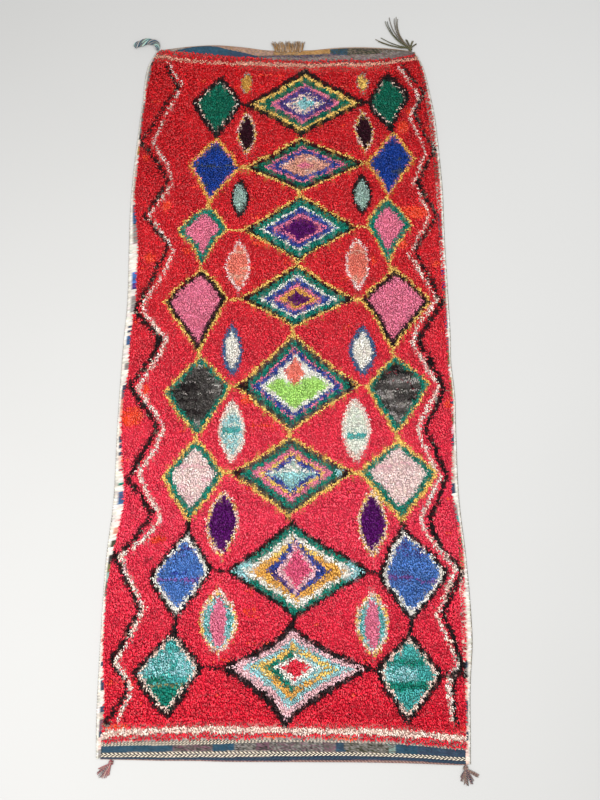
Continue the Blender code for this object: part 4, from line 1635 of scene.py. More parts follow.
@dataclass
class NearBand:
    """The strips of the near flat-woven end, as shares of the way to its free edge."""

    rows: Rows = (
        (-0.62, 0.20, 0.60, 0.87, 0.97), (-0.28, 0.21, 0.51, 0.82, 0.95), (-0.05, 0.10, 0.50, 0.75, 0.94),
        (0.18, 0.09, 0.53, 0.70, 0.90), (0.42, 0.05, 0.51, 0.69, 0.88), (0.60, 0.05, 0.50, 0.72, 0.94),
    )

    def __post_init__(self) -> None:
        """Makes smooth tables of where its four strips end."""
        self.hatch, self.band, self.cream, self.slate = smooth_columns(self.rows)

    def dyes(self, x: np.ndarray, share: float, chance: np.random.Generator) -> np.ndarray:
        """The dye of the band at each place.

        Args:
            x: Places across.
            share: The share of the way from the pile to the free edge.
            chance: The draw.

        Returns:
            Each place's number in DYES.
        """
        blocks = (
            (-0.370, (Dye.SLATE, Dye.SLATE, Dye.DEEP_TEAL)),
            (-0.235, (Dye.PEPPER, Dye.MAUVE, Dye.CHARCOAL)),
            (-0.165, (Dye.SLATE, Dye.DEEP_TEAL)),
            (-0.095, (Dye.PEPPER, Dye.CHARCOAL, Dye.GREY)),
            (-0.050, (Dye.MAUVE, Dye.CHARCOAL)),
            (0.135, (Dye.PEPPER, Dye.CHARCOAL, Dye.GREY, Dye.MAUVE)),
            (0.175, (Dye.MAUVE, Dye.PEPPER)),
            (0.205, (Dye.SLATE, Dye.NAVY)),
            (0.350, (Dye.PEPPER, Dye.GREY, Dye.DARK_OLIVE)),
            (0.375, (Dye.PEPPER, Dye.SAGE)),
            (0.445, (Dye.DEEP_TEAL, Dye.SLATE)),
            (0.700, (Dye.NAVY, Dye.NAVY, Dye.SLATE)),
        )
        draw = chance.random(len(x))
        found = np.full(len(x), NUMBER[Dye.GREY])
        found[draw > 0.45] = NUMBER[Dye.BEIGE]
        found[draw > 0.80] = NUMBER[Dye.PEPPER]
        in_band = (share > self.hatch(x)) & (share <= self.band(x))
        fill_blocks(found, x, in_band, blocks, chance)
        found[(share > self.cream(x)) & (share <= self.slate(x))] = NUMBER[Dye.NAVY]
        out = share > self.slate(x)
        found[out] = NUMBER[Dye.ROSE_BEIGE]
        found[out & (draw > 0.6)] = NUMBER[Dye.MAUVE]
        return found


@dataclass
class FarBand:
    """The strips of the far flat-woven end, as shares of the way to its free edge."""

    rows: Rows = (
        (-0.50, 0.50, 0.30), (-0.437, 0.30, 0.80), (-0.375, 0.13, 0.97), (-0.31, 0.15, 0.90),
        (-0.245, 0.14, 0.69), (-0.184, 0.14, 0.57), (-0.12, 0.20, 0.40), (-0.05, 0.35, 0.55),
        (0.05, 0.40, 0.62), (0.19, 0.42, 0.62), (0.27, 0.45, 0.45), (0.40, 0.55, 0.55), (0.55, 1.00, 1.00),
    )

    def __post_init__(self) -> None:
        """Makes smooth tables of where the inner line and the lens end."""
        self.line, self.lens = smooth_columns(self.rows)

    def dyes(self, x: np.ndarray, share: float, chance: np.random.Generator) -> np.ndarray:
        """The dye of the band at each place.

        Args:
            x: Places across.
            share: The share of the way from the pile to the free edge.
            chance: The draw.

        Returns:
            Each place's number in DYES.
        """
        outer_blocks = (
            (-0.440, (Dye.TAUPE, Dye.GREY, Dye.BEIGE)),
            (-0.050, (Dye.ROSE_BEIGE, Dye.TAN, Dye.TAUPE, Dye.ROSE_BEIGE)),
            (0.062, (Dye.GOLD, Dye.TAN, Dye.TAUPE)),
            (0.192, (Dye.GOLD, Dye.TAN, Dye.GOLD)),
            (0.270, (Dye.DEEP_TEAL, Dye.SLATE, Dye.DARK_OLIVE)),
            (0.410, (Dye.DARK_OLIVE, Dye.DARK_OLIVE, Dye.CHARCOAL, Dye.TAUPE)),
            (0.700, (Dye.TAUPE, Dye.GREY, Dye.DARK_OLIVE)),
        )
        lens_blocks = (
            (-0.245, (Dye.DEEP_TEAL, Dye.DEEP_TEAL, Dye.SLATE)),
            (-0.120, (Dye.NAVY, Dye.DEEP_TEAL, Dye.NAVY)),
            (0.700, (Dye.NAVY, Dye.NAVY, Dye.TAUPE, Dye.MAUVE)),
        )
        line_blocks = (
            (-0.400, (Dye.TAUPE, Dye.GREY)),
            (0.700, (Dye.TAUPE, Dye.PEPPER, Dye.GREY, Dye.MAUVE)),
        )
        found = np.full(len(x), NUMBER[Dye.TAUPE])
        line, lens = self.line(x), self.lens(x)
        for blocks, where in (
            (outer_blocks, share > lens),
            (lens_blocks, (share > line) & (share <= lens)),
            (line_blocks, share <= line),
        ):
            fill_blocks(found, x, where, blocks, chance)
        found[(share > 0.93) & (x > 0.19) & (x < 0.42)] = NUMBER[Dye.BEIGE]
        return found


@dataclass
class GroundWeave:
    """The woven ground under the knots, with a weft-faced band at each end."""

    shape: ClothShape
    near: NearBand
    far: FarBand
    finish: YarnFinish = FLAT_WEAVE
    columns: int = 220
    pile_rows: int = 90
    near_rows: int = 28
    far_rows: int = 24
    ground_top: float = 0.0052
    rib: float = 0.0006
    under: float = 0.0004
    near_sunk: float = 0.0004
    far_sunk: float = 0.0006
    far_thick: float = 0.0024
    root_shade: float = 0.60
    band_shade: float = 0.58

    def build(self) -> bpy.types.Object:
        """Makes the ground as one closed sheet.

        Returns:
            The piece.
        """
        chance = np.random.default_rng(41)
        colouring = Colouring(42)
        shape = self.shape
        across = np.linspace(0, 1, self.columns + 1)
        tops, unders, colours = [], [], []
        for i in range(self.far_rows, -1, -1):
            share = i / self.far_rows
            x, y = shape.spot(across, share, shape.far_pile, shape.far_edge)
            z = shape.band_height(x, share, True) - self.far_sunk - self.rib * (i % 2)
            tops.append(np.stack((x, y, z), axis=-1))
            unders.append(np.stack((x, y, np.maximum(z - self.far_thick, self.under)), axis=-1))
            dyes = self.far.dyes(x, share, chance)
            colours.append(colouring.of(dyes, x, y) * self.band_shade)
        chart = Chart()
        for i in range(self.pile_rows - 1, 0, -1):
            share = i / self.pile_rows
            x, y = shape.spot(across, share, shape.near_pile, shape.far_pile)
            tops.append(np.stack((x, y, np.full_like(x, self.ground_top)), axis=-1))
            # Painted shade: the ground between the knots takes the chart's colours, made darker.
            colours.append(colouring.of(chart.knots(x, y), x, y) * self.root_shade)
        for i in range(self.near_rows + 1):
            share = i / self.near_rows
            x, y = shape.spot(across, share, shape.near_pile, shape.near_edge)
            z = np.full_like(x, shape.band_thick - self.near_sunk - self.rib * (i % 2))
            tops.append(np.stack((x, y, z), axis=-1))
            dyes = self.near.dyes(x, share, chance)
            colours.append(colouring.of(dyes, x, y) * self.band_shade)
        parts = MeshParts()
        self.add_sheet(parts, np.array(tops), np.array(unders), np.array(colours))
        piece = parts.build("ground_weave", self.finish.material())
        return dress(piece, "pile", "rug")

    def add_sheet(
        self, parts: MeshParts, tops: np.ndarray, unders: np.ndarray, colours: np.ndarray
    ) -> None:
        """Closes the upper side with an underside and walls.

        Args:
            parts: The mesh that it joins.
            tops: Rows of points of the upper side, from the far edge to the near edge.
            unders: Rows of points under the far band.
            colours: The colour of each upper point.
        """
        rows, columns = tops.shape[:2]
        far = len(unders)
        rest = tops[far:].copy()
        rest[..., 2] = self.under
        under = np.concatenate((unders, rest))
        under[far - 1, :, 2] = self.under
        points = np.concatenate((tops.reshape(-1, 3), under.reshape(-1, 3)))
        tone = np.concatenate((colours.reshape(-1, 3), colours.reshape(-1, 3)))
        index = np.arange(rows * columns).reshape(rows, columns)
        below = index + rows * columns
        top_faces = np.stack((index[:-1, :-1], index[1:, :-1], index[1:, 1:], index[:-1, 1:]), axis=-1)
        far_under = np.stack(
            (below[: far - 1, :-1], below[: far - 1, 1:], below[1:far, 1:], below[1:far, :-1]), axis=-1
        )
        left = np.stack((index[:-1, 0], below[:-1, 0], below[1:, 0], index[1:, 0]), axis=-1)
        right = np.stack((index[:-1, -1], index[1:, -1], below[1:, -1], below[:-1, -1]), axis=-1)
        start = np.stack((index[0, :-1], index[0, 1:], below[0, 1:], below[0, :-1]), axis=-1)
        end = np.stack((index[-1, :-1], below[-1, :-1], below[-1, 1:], index[-1, 1:]), axis=-1)
        outline = np.concatenate((
            below[far - 1, :], below[far:, -1], below[-1, -2::-1], below[-2 : far - 1 : -1, 0],
        ))[None, :]
        faces = [f.reshape(-1, 4) for f in (top_faces, far_under, left, right, start, end)]
        used = np.unique(np.concatenate([f.ravel() for f in faces + [outline]]))
        renumber = np.full(len(points), -1)
        renumber[used] = np.arange(len(used))
        parts.add(points[used], tone[used], [renumber[f] for f in faces + [outline]])


@dataclass
class TwinedRows:
    """Cords of two strands twined across the flat-woven ends."""

    shape: ClothShape
    near: NearBand
    far: FarBand
    finish: YarnFinish = TWINED_YARN
    path_steps: int = 160
    turn_share: float = 2.1
    least_turn: float = 0.0115
    mean_width: float = 1.22
    fill: float = 0.54
    radii: tuple[float, float] = (0.0012, 0.0034)
    sunk: float = 0.0012
    flatten: float = 0.8

    def build(self) -> list[bpy.types.Object]:
        """Makes the rows of both ends.

        Returns:
            The pieces.
        """
        material = self.finish.material()
        near = MeshParts()
        band = self.near
        beige, cream = dye_colour(Dye.HATCH_CREAM, 0.95), dye_colour(Dye.HATCH_CREAM, 1.08)
        grey, slate = dye_colour(Dye.CHARCOAL, 0.45), dye_colour(Dye.SLATE, 0.7)
        for place in (0.28, 0.78):
            self.add_row(
                near, False,
                lambda x, p=place: band.hatch(x) * p,
                lambda x: band.hatch(x) / 2, 1, (beige, grey),
            )
        for number, place in enumerate((0.27, 0.77)):
            hand = 1 if number % 2 else -1
            self.add_row(
                near, False,
                lambda x, p=place: band.band(x) + (band.cream(x) - band.band(x)) * p,
                lambda x: (band.cream(x) - band.band(x)) / 2, hand, (cream, grey),
            )
        self.add_row(
            near, False,
            lambda x: (band.cream(x) + band.slate(x)) / 2,
            lambda x: band.slate(x) - band.cream(x), 1, (dye_colour(Dye.NAVY, 0.6), slate),
        )
        rose = dye_colour(Dye.ROSE_BEIGE, 0.8)
        self.add_row(
            near, False,
            lambda x: (band.slate(x) + 1) / 2,
            lambda x: np.maximum(1 - band.slate(x), 0.055), -1, (rose, rose * 0.5),
        )
        far = MeshParts()
        taupe, tan = dye_colour(Dye.TAUPE, 0.7), dye_colour(Dye.TAN)
        for place, hand, pair in ((0.05, 1, (taupe, grey)), (0.97, 1, (rose * 0.8, tan * 0.7))):
            self.add_row(
                far, True,
                lambda x, p=place: np.full_like(x, p),
                lambda x: np.full_like(x, 0.075), hand, pair,
            )
        return [
            dress(near.build("twined_rows_near", material), "pile", "rug"),
            dress(far.build("twined_rows_far", material), "pile", "rug"),
        ]

    def add_row(
        self,
        parts: MeshParts,
        far: bool,
        share: Callable[[np.ndarray], np.ndarray],
        width_share: Callable[[np.ndarray], np.ndarray],
        hand: int,
        pair: tuple[np.ndarray, np.ndarray],
    ) -> None:
        """Adds one twined cord across a band.

        Args:
            parts: The mesh that it joins.
            far: Whether it is on the far band.
            share: Its share of the way to the free edge at a place across.
            width_share: Its width there, as a share of the band.
            hand: 1 or -1, which way it is twined.
            pair: The colours of its two strands.
        """
        start = self.shape.far_pile if far else self.shape.near_pile
        end = self.shape.far_edge if far else self.shape.near_edge
        u = np.linspace(0.002, 0.998, self.path_steps)
        x, y = self.shape.spot(u, share((u - 0.5) * self.mean_width), start, end)
        length = np.abs(end(x) - start(x))
        radius = np.clip(width_share(x) * length * self.fill, *self.radii)
        z = np.maximum(self.shape.band_height(x, share(x), far) - self.sunk, radius)
        turn = hand * max(self.turn_share * 2 * float(np.mean(radius)), self.least_turn)
        twisted_yarn(parts, np.stack((x, y, z), axis=-1), radius, turn, pair, flatten=self.flatten)


@dataclass
class Selvedge:
    """The overcast edge down one long side, with a twisted cord along its outside.

    The narrow and the broad sections give the points over a wrap, from its inner edge
    outwards, as shares of its width and height.
    """

    shape: ClothShape
    outward: int
    blocks: tuple[tuple[float, Dye], ...]
    cord: tuple[Dye, Dye]
    finish: YarnFinish = SELVEDGE_YARN
    wrap_pitch: float = 0.0046
    wrap_depth: float = 0.16
    rings: int = 3
    slant: float = 0.45
    width: float = 0.0128
    cord_radius: float = 0.0017
    cord_turn: float = 0.0095
    lift_run: float = 0.006
    slant_reach: float = 0.012
    painted_groove_shade: float = 0.40
    wrap_shade: float = 0.74
    inner_points: int = 4
    narrow: Rows = (
        (0.0, 0.10), (0.03, 0.62), (0.20, 0.94), (0.50, 1.04), (0.80, 0.94), (0.97, 0.62), (1.0, 0.10),
    )
    broad: Rows = (
        (0.0, 0.98), (0.03, 1.18), (0.20, 1.28), (0.45, 1.32), (0.72, 1.26), (0.96, 0.86), (1.0, 0.10),
    )

    def build(self) -> bpy.types.Object:
        """Makes the wraps and the cord as one piece.

        Returns:
            The piece.
        """
        side = "left" if self.outward < 0 else "right"
        near = float(self.shape.near_edge(np.array(self.outward * 0.62)))
        far = float(self.shape.far_edge(np.array(self.outward * 0.56)))
        parts = MeshParts()
        count = int((far - near) / self.wrap_pitch * self.rings)
        y = np.linspace(near + 0.003, far - 0.003, count)
        self.add_wraps(parts, y)
        self.add_cord(parts, y[:: 2 * self.rings])
        piece = parts.build(f"selvedge_{side}_wraps", self.finish.material())
        return dress(piece, "selvedge", f"selvedge_{side}")

    def outer_edge(self, y: np.ndarray) -> np.ndarray:
        """Where the selvedge's outer edge is at each place along."""
        return self.shape.left_edge(y) if self.outward < 0 else self.shape.right_edge(y)

    def add_wraps(self, parts: MeshParts, y: np.ndarray) -> None:
        """Adds the overcast yarn, wrap after wrap.

        Args:
            parts: The mesh that it joins.
            y: Places along, some for each wrap.
        """
        count = len(y)
        chance = np.random.default_rng(51 + self.outward)
        wrap = np.arange(count) // self.rings
        phase = np.arange(count) % self.rings
        swell = np.where(phase == 0, 1.0 - self.wrap_depth, 1.0)
        loose = 1 + 0.06 * chance.normal(0, 1, wrap[-1] + 1)[wrap]
        inward = self.shape.inward[self.outward](y)
        outward = self.shape.outward[self.outward](y)
        lifted = smooth(inward / self.lift_run)[:, None, None]
        section = np.array(self.narrow) * (1 - lifted) + np.array(self.broad) * lifted
        width = self.width + inward + outward
        across = (section[..., 0] - 0.5) * (width * (1 - (1 - swell) * self.width / width) * loose)[:, None]
        centre = self.outer_edge(y) + self.outward * (outward - 0.0006 - width / 2)
        x = centre[:, None] + self.outward * across
        slanted = np.clip(across, -self.slant_reach, self.slant_reach) * 0.5
        along = y[:, None] + self.slant * self.outward * slanted
        z = section[..., 1] * (self.shape.selvedge_tall * swell * loose)[:, None]
        points = np.stack((x, along, z), axis=-1).reshape(-1, 3)
        plain = np.full(count, NUMBER[Dye.WHITE])
        dyes = plain.copy()
        start = np.inf
        for end, dye in self.blocks:
            dyes[(y < start) & (y >= end)] = NUMBER[dye]
            start = end
        # The first ring of each wrap, in the groove between wraps, gets painted shade; the rest of the wrap
        # is only a darker tone of its yarn.
        shade = np.where(phase == 0, self.painted_groove_shade, self.wrap_shade)[:, None]
        inner = Colouring(61 + self.outward).of(dyes, centre, y)[wrap * self.rings] * shade
        outer = Colouring(64 + self.outward).of(plain, centre, y)[wrap * self.rings] * shade
        sides = len(self.narrow)
        tones = [inner if place < self.inner_points else outer for place in range(sides)]
        faces = ring_faces(count, sides)
        if self.outward > 0:
            faces = [face[:, ::-1] for face in faces]
        parts.add(points, np.stack(tones, axis=1).reshape(-1, 3), faces)

    def add_cord(self, parts: MeshParts, y: np.ndarray) -> None:
        """Adds the twisted cord along the outer edge.

        Args:
            parts: The mesh that it joins.
            y: Places along.
        """
        out = self.shape.outward[self.outward](y) - self.cord_radius * 0.6
        x = self.outer_edge(y) + self.outward * out
        path = np.stack((x, y, np.full_like(y, self.cord_radius * 1.1)), axis=-1)
        pair = [dye_colour(dye, 0.7) for dye in self.cord]
        twisted_yarn(parts, path, self.cord_radius, self.cord_turn, pair, 3, 5)


@dataclass
class CornerTassel:
    """A knot at a corner of the cloth with loose yarn ends fanned out from it.

    Each strand is its turn from the way the tassel faces, its length and its bend.
    """

    shape: ClothShape
    name: str
    across: float
    far: bool
    strands: Rows
    dyes: tuple[Dye, ...]
    slot: str
    finish: YarnFinish = CORNER_YARN
    knot_radius: float = 0.0110
    knot_tall: float = 0.0086
    yarn_radius: float = 0.0025
    tip_share: float = 0.55
    steps: int = 9
    yarns_each: int = 3
    fan: float = 4.0
    full_turn: float = 0.0085
    gap: float = 0.0012
    root_share: float = 0.55
    lead_share: float = 0.35
    lead_height: float = 0.0045
    waver_angle: float = math.radians(5)
    knot_turns: int = 3
    knot_yarn_radius: float = 0.0019
    knot_full_turn: float = 0.0090

    def build(self) -> bpy.types.Object:
        """Makes the knot and its yarn ends as one piece.

        Returns:
            The piece.
        """
        chance = np.random.default_rng(len(self.name) + int(1000 * abs(self.across)))
        outward = 1.0 if self.far else -1.0
        edge = self.shape.far_edge if self.far else self.shape.near_edge
        back = float(edge(np.array(self.across)))
        centre = np.array((self.across, back + outward * (self.knot_radius + self.gap)))
        facing = outward * math.pi / 2
        parts = MeshParts()
        colours = [dye_colour(dye, 0.66) for dye in self.dyes]
        self.add_knot(parts, centre, outward, colours, chance)
        for number, (turn, long, bend) in enumerate(self.strands):
            for yarn in range(self.yarns_each):
                spread = yarn - (self.yarns_each - 1) / 2
                heading = facing - math.radians(turn + spread * self.fan)
                way = np.array((math.cos(heading), math.sin(heading)))
                root = centre + self.root_share * self.knot_radius * way
                length = long * chance.uniform(0.86, 1.0) + 0.45 * self.knot_radius
                path = self.route(root, heading, length, bend, spread, chance)
                lead_across = centre[0] + self.lead_share * (root[0] - centre[0])
                lead = np.array((lead_across, back - outward * 0.0010, self.lead_height))
                path = np.concatenate((lead[None, :], path))
                share = np.linspace(0, 1, len(path))
                radius = self.yarn_radius * (1 - (1 - self.tip_share) * share)
                first = colours[(number + yarn) % len(colours)]
                second = colours[(number + 2 * yarn + 1) % len(colours)]
                tone = chance.uniform(0.8, 1.15)
                pair = (first * tone, second * tone)
                twisted_yarn(parts, path, radius, self.full_turn, pair, 4, phase=chance.uniform(0, 6))
        piece = parts.build(f"{self.name}_yarns", self.finish.material())
        return dress(piece, self.slot, self.name)

    def route(
        self,
        root: np.ndarray,
        heading: float,
        length: float,
        bend: float,
        spread: float,
        chance: np.random.Generator,
    ) -> np.ndarray:
        """The middle line of one yarn end, level on the floor.

        Args:
            root: Where it leaves the knot.
            heading: The way it starts.
            length: Its length.
            bend: How much it turns on the way, in degrees.
            spread: How far it lies beside the middle one of its few, in yarns.
            chance: The draw.

        Returns:
            Its points.
        """
        place = np.array(root, float)
        points = [place.copy()]
        turn = math.radians(bend) / self.steps
        waver = chance.uniform(-1, 1)
        for step in range(self.steps):
            heading += turn + self.waver_angle * waver * math.sin(2.2 * step + spread)
            place = place + np.array((math.cos(heading), math.sin(heading))) * length / self.steps
            points.append(place.copy())
        flat = np.array(points)
        share = np.linspace(0, 1, len(flat))
        lift = self.yarn_radius * (1.0 + 1.5 * (1 - share) ** 3 + 0.35 * abs(spread) * (1 - share))
        return np.concatenate((flat, lift[:, None]), axis=1)

    def add_knot(
        self,
        parts: MeshParts,
        centre: np.ndarray,
        outward: float,
        colours: list[np.ndarray],
        chance: np.random.Generator,
    ) -> None:
        """Adds the turns of yarn that tie the ends together.

        Args:
            parts: The mesh that they join.
            centre: The middle of the knot on the floor.
            outward: 1 or -1 along the rug.
            colours: The yarns' colours.
            chance: The draw.
        """
        angle = np.linspace(0, 2 * math.pi, 22)
        for number in range(self.knot_turns):
            place = (number / (self.knot_turns - 1) - 0.5) * 2
            half = self.knot_radius * (0.80 - 0.10 * place * place)
            tall = self.knot_tall / 2 * (1.0 - 0.22 * place * place) - 0.0012
            lean = 0.0025 * chance.uniform(-1, 1)
            x = centre[0] + half * np.cos(angle) * 0.92
            y = centre[1] + outward * (place * 0.34 - 0.30) * self.knot_radius + lean * np.cos(angle)
            z = self.knot_tall / 2 + tall * np.sin(angle)
            path = np.stack((x, y, np.maximum(z, 0.0018)), axis=-1)
            tone = colours[number % 2] * chance.uniform(0.7, 1.0)
            pair = (tone, tone * 0.85)
            twisted_yarn(parts, path, self.knot_yarn_radius, self.knot_full_turn, pair, 4)


@dataclass
class TwistedBunch:
    """The fat far-left bunch: three plies of several yarns twisted together.

    Each row is a point of its middle line across and along, its width and its height.
    """

    rows: Rows = (
        (-0.5560, 1.4066, 0.0120, 0.0080), (-0.5540, 1.4180, 0.0200, 0.0130),
        (-0.5580, 1.4320, 0.0240, 0.0150), (-0.5700, 1.4430, 0.0260, 0.0150),
        (-0.5880, 1.4480, 0.0280, 0.0150), (-0.6080, 1.4460, 0.0300, 0.0150),
        (-0.6280, 1.4400, 0.0300, 0.0140), (-0.6450, 1.4310, 0.0270, 0.0120),
        (-0.6570, 1.4230, 0.0180, 0.0080),
    )
    plies: int = 3
    yarns: int = 5
    twist: float = math.radians(430)
    ply_twist: float = math.radians(900)
    steps: int = 72
    ply_wide: float = 0.28
    ply_tall: float = 0.24
    yarn_apart: float = 0.15
    yarn_radius: float = 0.105
    finish: YarnFinish = CORNER_YARN
    dyes: tuple[Dye, ...] = (Dye.SLATE, Dye.GREY, Dye.SLATE, Dye.PEPPER, Dye.SAGE)

    def build(self) -> bpy.types.Object:
        """Makes the bunch.

        Returns:
            The piece.
        """
        tables = smooth_columns([(place, *row) for place, row in enumerate(self.rows)])
        at = np.linspace(0, len(self.rows) - 1, self.steps)
        x, y, wide, tall = (table(at) for table in tables)
        line = np.stack((x, y, tall * 0.5), axis=-1)
        side, up = square_to(np.gradient(line, axis=0))
        share = np.linspace(0, 1, self.steps)
        chance = np.random.default_rng(71)
        parts = MeshParts()
        for ply in range(self.plies):
            angle = self.twist * share + 2 * math.pi * ply / self.plies
            swing = np.cos(angle)[:, None] * side * (wide * self.ply_wide)[:, None]
            swing = swing + np.sin(angle)[:, None] * up * (tall * self.ply_tall)[:, None]
            for yarn in range(self.yarns):
                inner = self.ply_twist * share + 2 * math.pi * yarn / self.yarns + ply
                small = np.cos(inner)[:, None] * side * (wide * self.yarn_apart)[:, None]
                small = small + np.sin(inner)[:, None] * up * (tall * self.yarn_apart)[:, None]
                path = line + swing + small
                radius = wide * self.yarn_radius * chance.uniform(0.85, 1.1)
                path[:, 2] = np.maximum(path[:, 2], radius)
                reach = int(self.steps * chance.uniform(0.90, 1.0))
                dye = self.dyes[(ply + yarn) % len(self.dyes)]
                tone = dye_colour(dye, chance.uniform(0.6, 1.0))
                tube(parts, path[:reach], radius[:reach], tone, 6)
        piece = parts.build("tassel_far_left_bunch", self.finish.material())
        return dress(piece, "grey_yarn", "tassel_far_left")


@dataclass
class WarpTuft:
    """The short row of uncut warp ends beyond the middle of the far edge."""

    shape: ClothShape
    left: float = -0.044
    right: float = 0.074
    count: int = 170
    length: float = 0.046
    shortest: float = 0.022
    longest: float = 0.054
    radius: float = 0.0019
    full_turn: float = 0.0064
    tucked_in: float = 0.0140
    uneven_root: float = 0.0120
    fan: float = 18.0
    sway: float = 7.0
    cord_height: float = 0.0040
    cord_radius: float = 0.0026
    cord_full_turn: float = 0.0090
    finish: YarnFinish = WARP_YARN
    dyes: tuple[Dye, ...] = (Dye.TAN, Dye.BEIGE, Dye.GOLD, Dye.TAUPE, Dye.TAN)

    def build(self) -> bpy.types.Object:
        """Makes the warp ends and the cord that binds their roots.

        Returns:
            The piece.
        """
        chance = np.random.default_rng(81)
        parts = MeshParts()
        sway = Unevenness(82, 0.02, 1.0)
        for number in range(self.count):
            share = (number + 0.5) / self.count
            x = self.left + (self.right - self.left) * share
            edge = float(self.shape.far_edge(np.array(x)))
            y = edge - self.tucked_in + self.uneven_root * chance.random()
            sideways = self.sway * float(sway(np.array(x), np.array(0.0)))
            lean = math.radians(self.fan * (share - 0.5) + sideways)
            length = min(max(self.length * (1 + 0.22 * chance.normal()), self.shortest), self.longest)
            s = np.linspace(0, 1, 10)
            curl = chance.uniform(-0.5, 0.5)
            heading = lean + curl * s * s
            step = length / len(s)
            px = x + np.cumsum(np.sin(heading)) * step
            py = y + np.cumsum(np.cos(heading)) * step
            pz = self.radius * (3.0 - 1.6 * s + 3.0 * np.sin(math.pi * s) * chance.uniform(0.1, 1.0))
            tone = dye_colour(self.dyes[number % len(self.dyes)], chance.uniform(0.5, 1.0))
            radius = self.radius * (1 - 0.45 * s)
            path = np.stack((px, py, pz), axis=-1)
            twisted_yarn(parts, path, radius, self.full_turn, (tone, tone * 0.8), 3, 4)
        x = np.linspace(self.left - 0.002, self.right + 0.002, 24)
        y = self.shape.far_edge(x) + 0.0030
        path = np.stack((x, y, np.full_like(x, self.cord_height)), axis=-1)
        pair = (dye_colour(Dye.BEIGE), dye_colour(Dye.TAN))
        twisted_yarn(parts, path, self.cord_radius, self.cord_full_turn, pair, 4)
        piece = parts.build("warp_tuft_yarns", self.finish.material())
        return dress(piece, "warp_yarn", "warp_tuft")


@dataclass(frozen=True)
class PaleFloor:
    """A plain pale studio floor."""

    half_side: float = 6.0
    drop: float = 0.0004
    tone: float = 0.42

    def build(self) -> bpy.types.Object:
        """Makes the floor.

        Returns:
            The floor.
        """
        mesh = bpy.data.meshes.new("studio_floor")
        s = self.half_side
        corners = [(-s, -s, -self.drop), (s, -s, -self.drop), (s, s, -self.drop), (-s, s, -self.drop)]
        mesh.from_pydata(corners, [], [(0, 1, 2, 3)])
        material = bpy.data.materials.new("pale_floor")
        material.use_nodes = True
        nodes = ShaderNodes(material.node_tree)
        shader = material.node_tree.nodes["Principled BSDF"]
        place = nodes.add("TexCoord")
        cloud = nodes.add("TexNoise", in_Scale=1.5, in_Detail=2.0)
        nodes.join(place.outputs["Object"], cloud.inputs["Vector"])
        ramp = nodes.add("ValToRGB")
        ramp.color_ramp.elements[0].color = (self.tone, self.tone, self.tone * 0.985, 1)
        ramp.color_ramp.elements[1].color = (self.tone * 1.03, self.tone * 1.03, self.tone * 1.02, 1)
        nodes.join(cloud.outputs["Fac"], ramp.inputs["Fac"])
        nodes.join(ramp.outputs["Color"], shader.inputs["Base Color"])
        shader.inputs["Roughness"].default_value = 0.9
        mesh.materials.append(material)
        floor = bpy.data.objects.new("studio_floor", mesh)
        bpy.context.scene.collection.objects.link(floor)
        return floor


@dataclass(frozen=True)
class SoftLight:
    """A large soft square light."""

    name: str
    place: tuple[float, float, float]
    target: tuple[float, float, float]
    size: float
    power: float
    tint: tuple[float, float, float] = (1.0, 1.0, 1.0)

    def build(self) -> None:
        """Makes the light and aims it at its target."""
        lamp = bpy.data.lights.new(self.name, "AREA")
        lamp.shape = "SQUARE"
        lamp.size = self.size
        lamp.energy = self.power
        lamp.color = self.tint
        holder = bpy.data.objects.new(self.name, lamp)
        holder.location = self.place
        aim = Vector(self.target) - Vector(self.place)
        holder.rotation_euler = aim.to_track_quat("-Z", "Y").to_euler()
        bpy.context.scene.collection.objects.link(holder)


@dataclass(frozen=True)
class Studio:
    """The camera, the soft lights and the pale floor."""

    camera_place: tuple[float, float, float] = (0.0565, -0.83, 2.56)
    camera_axes: tuple[tuple[float, float, float], ...] = (
        (0.9999954, 0.0029275, -0.00076265),
        (-0.00302518, 0.96769693, -0.2520982),
        (0.0, 0.25209935, 0.96770136),
    )
    lens: float = 31.5
    sensor: float = 36.0
    ambient: float = 0.80
    lights: tuple[SoftLight, ...] = (
        SoftLight("window_light", (-1.2, -1.6, 3.4), (0.0, -0.3, 0.0), 2.4, 166.0, (1.0, 0.985, 0.96)),
        SoftLight("fill_light", (2.0, 1.2, 3.2), (0.0, 0.3, 0.0), 2.6, 68.0, (0.98, 0.99, 1.0)),
    )

    def build(self) -> None:
        """Makes the stage."""
        scene = bpy.context.scene
        scene.view_settings.view_transform = "Standard"
        world = bpy.data.worlds.new("soft_room")
        world.use_nodes = True
        world.node_tree.nodes["Background"].inputs["Color"].default_value = (1, 1, 1, 1)
        world.node_tree.nodes["Background"].inputs["Strength"].default_value = self.ambient
        scene.world = world
        for light in self.lights:
            light.build()
        PaleFloor().build()
        camera = bpy.data.cameras.new("photo_view")
        camera.lens = self.lens
        camera.sensor_width = self.sensor
        camera.sensor_fit = "AUTO"
        holder = bpy.data.objects.new("photo_view", camera)
        turned = Matrix(self.camera_axes).to_4x4()
        holder.matrix_world = Matrix.Translation(self.camera_place) @ turned
        scene.collection.objects.link(holder)
        scene.camera = holder


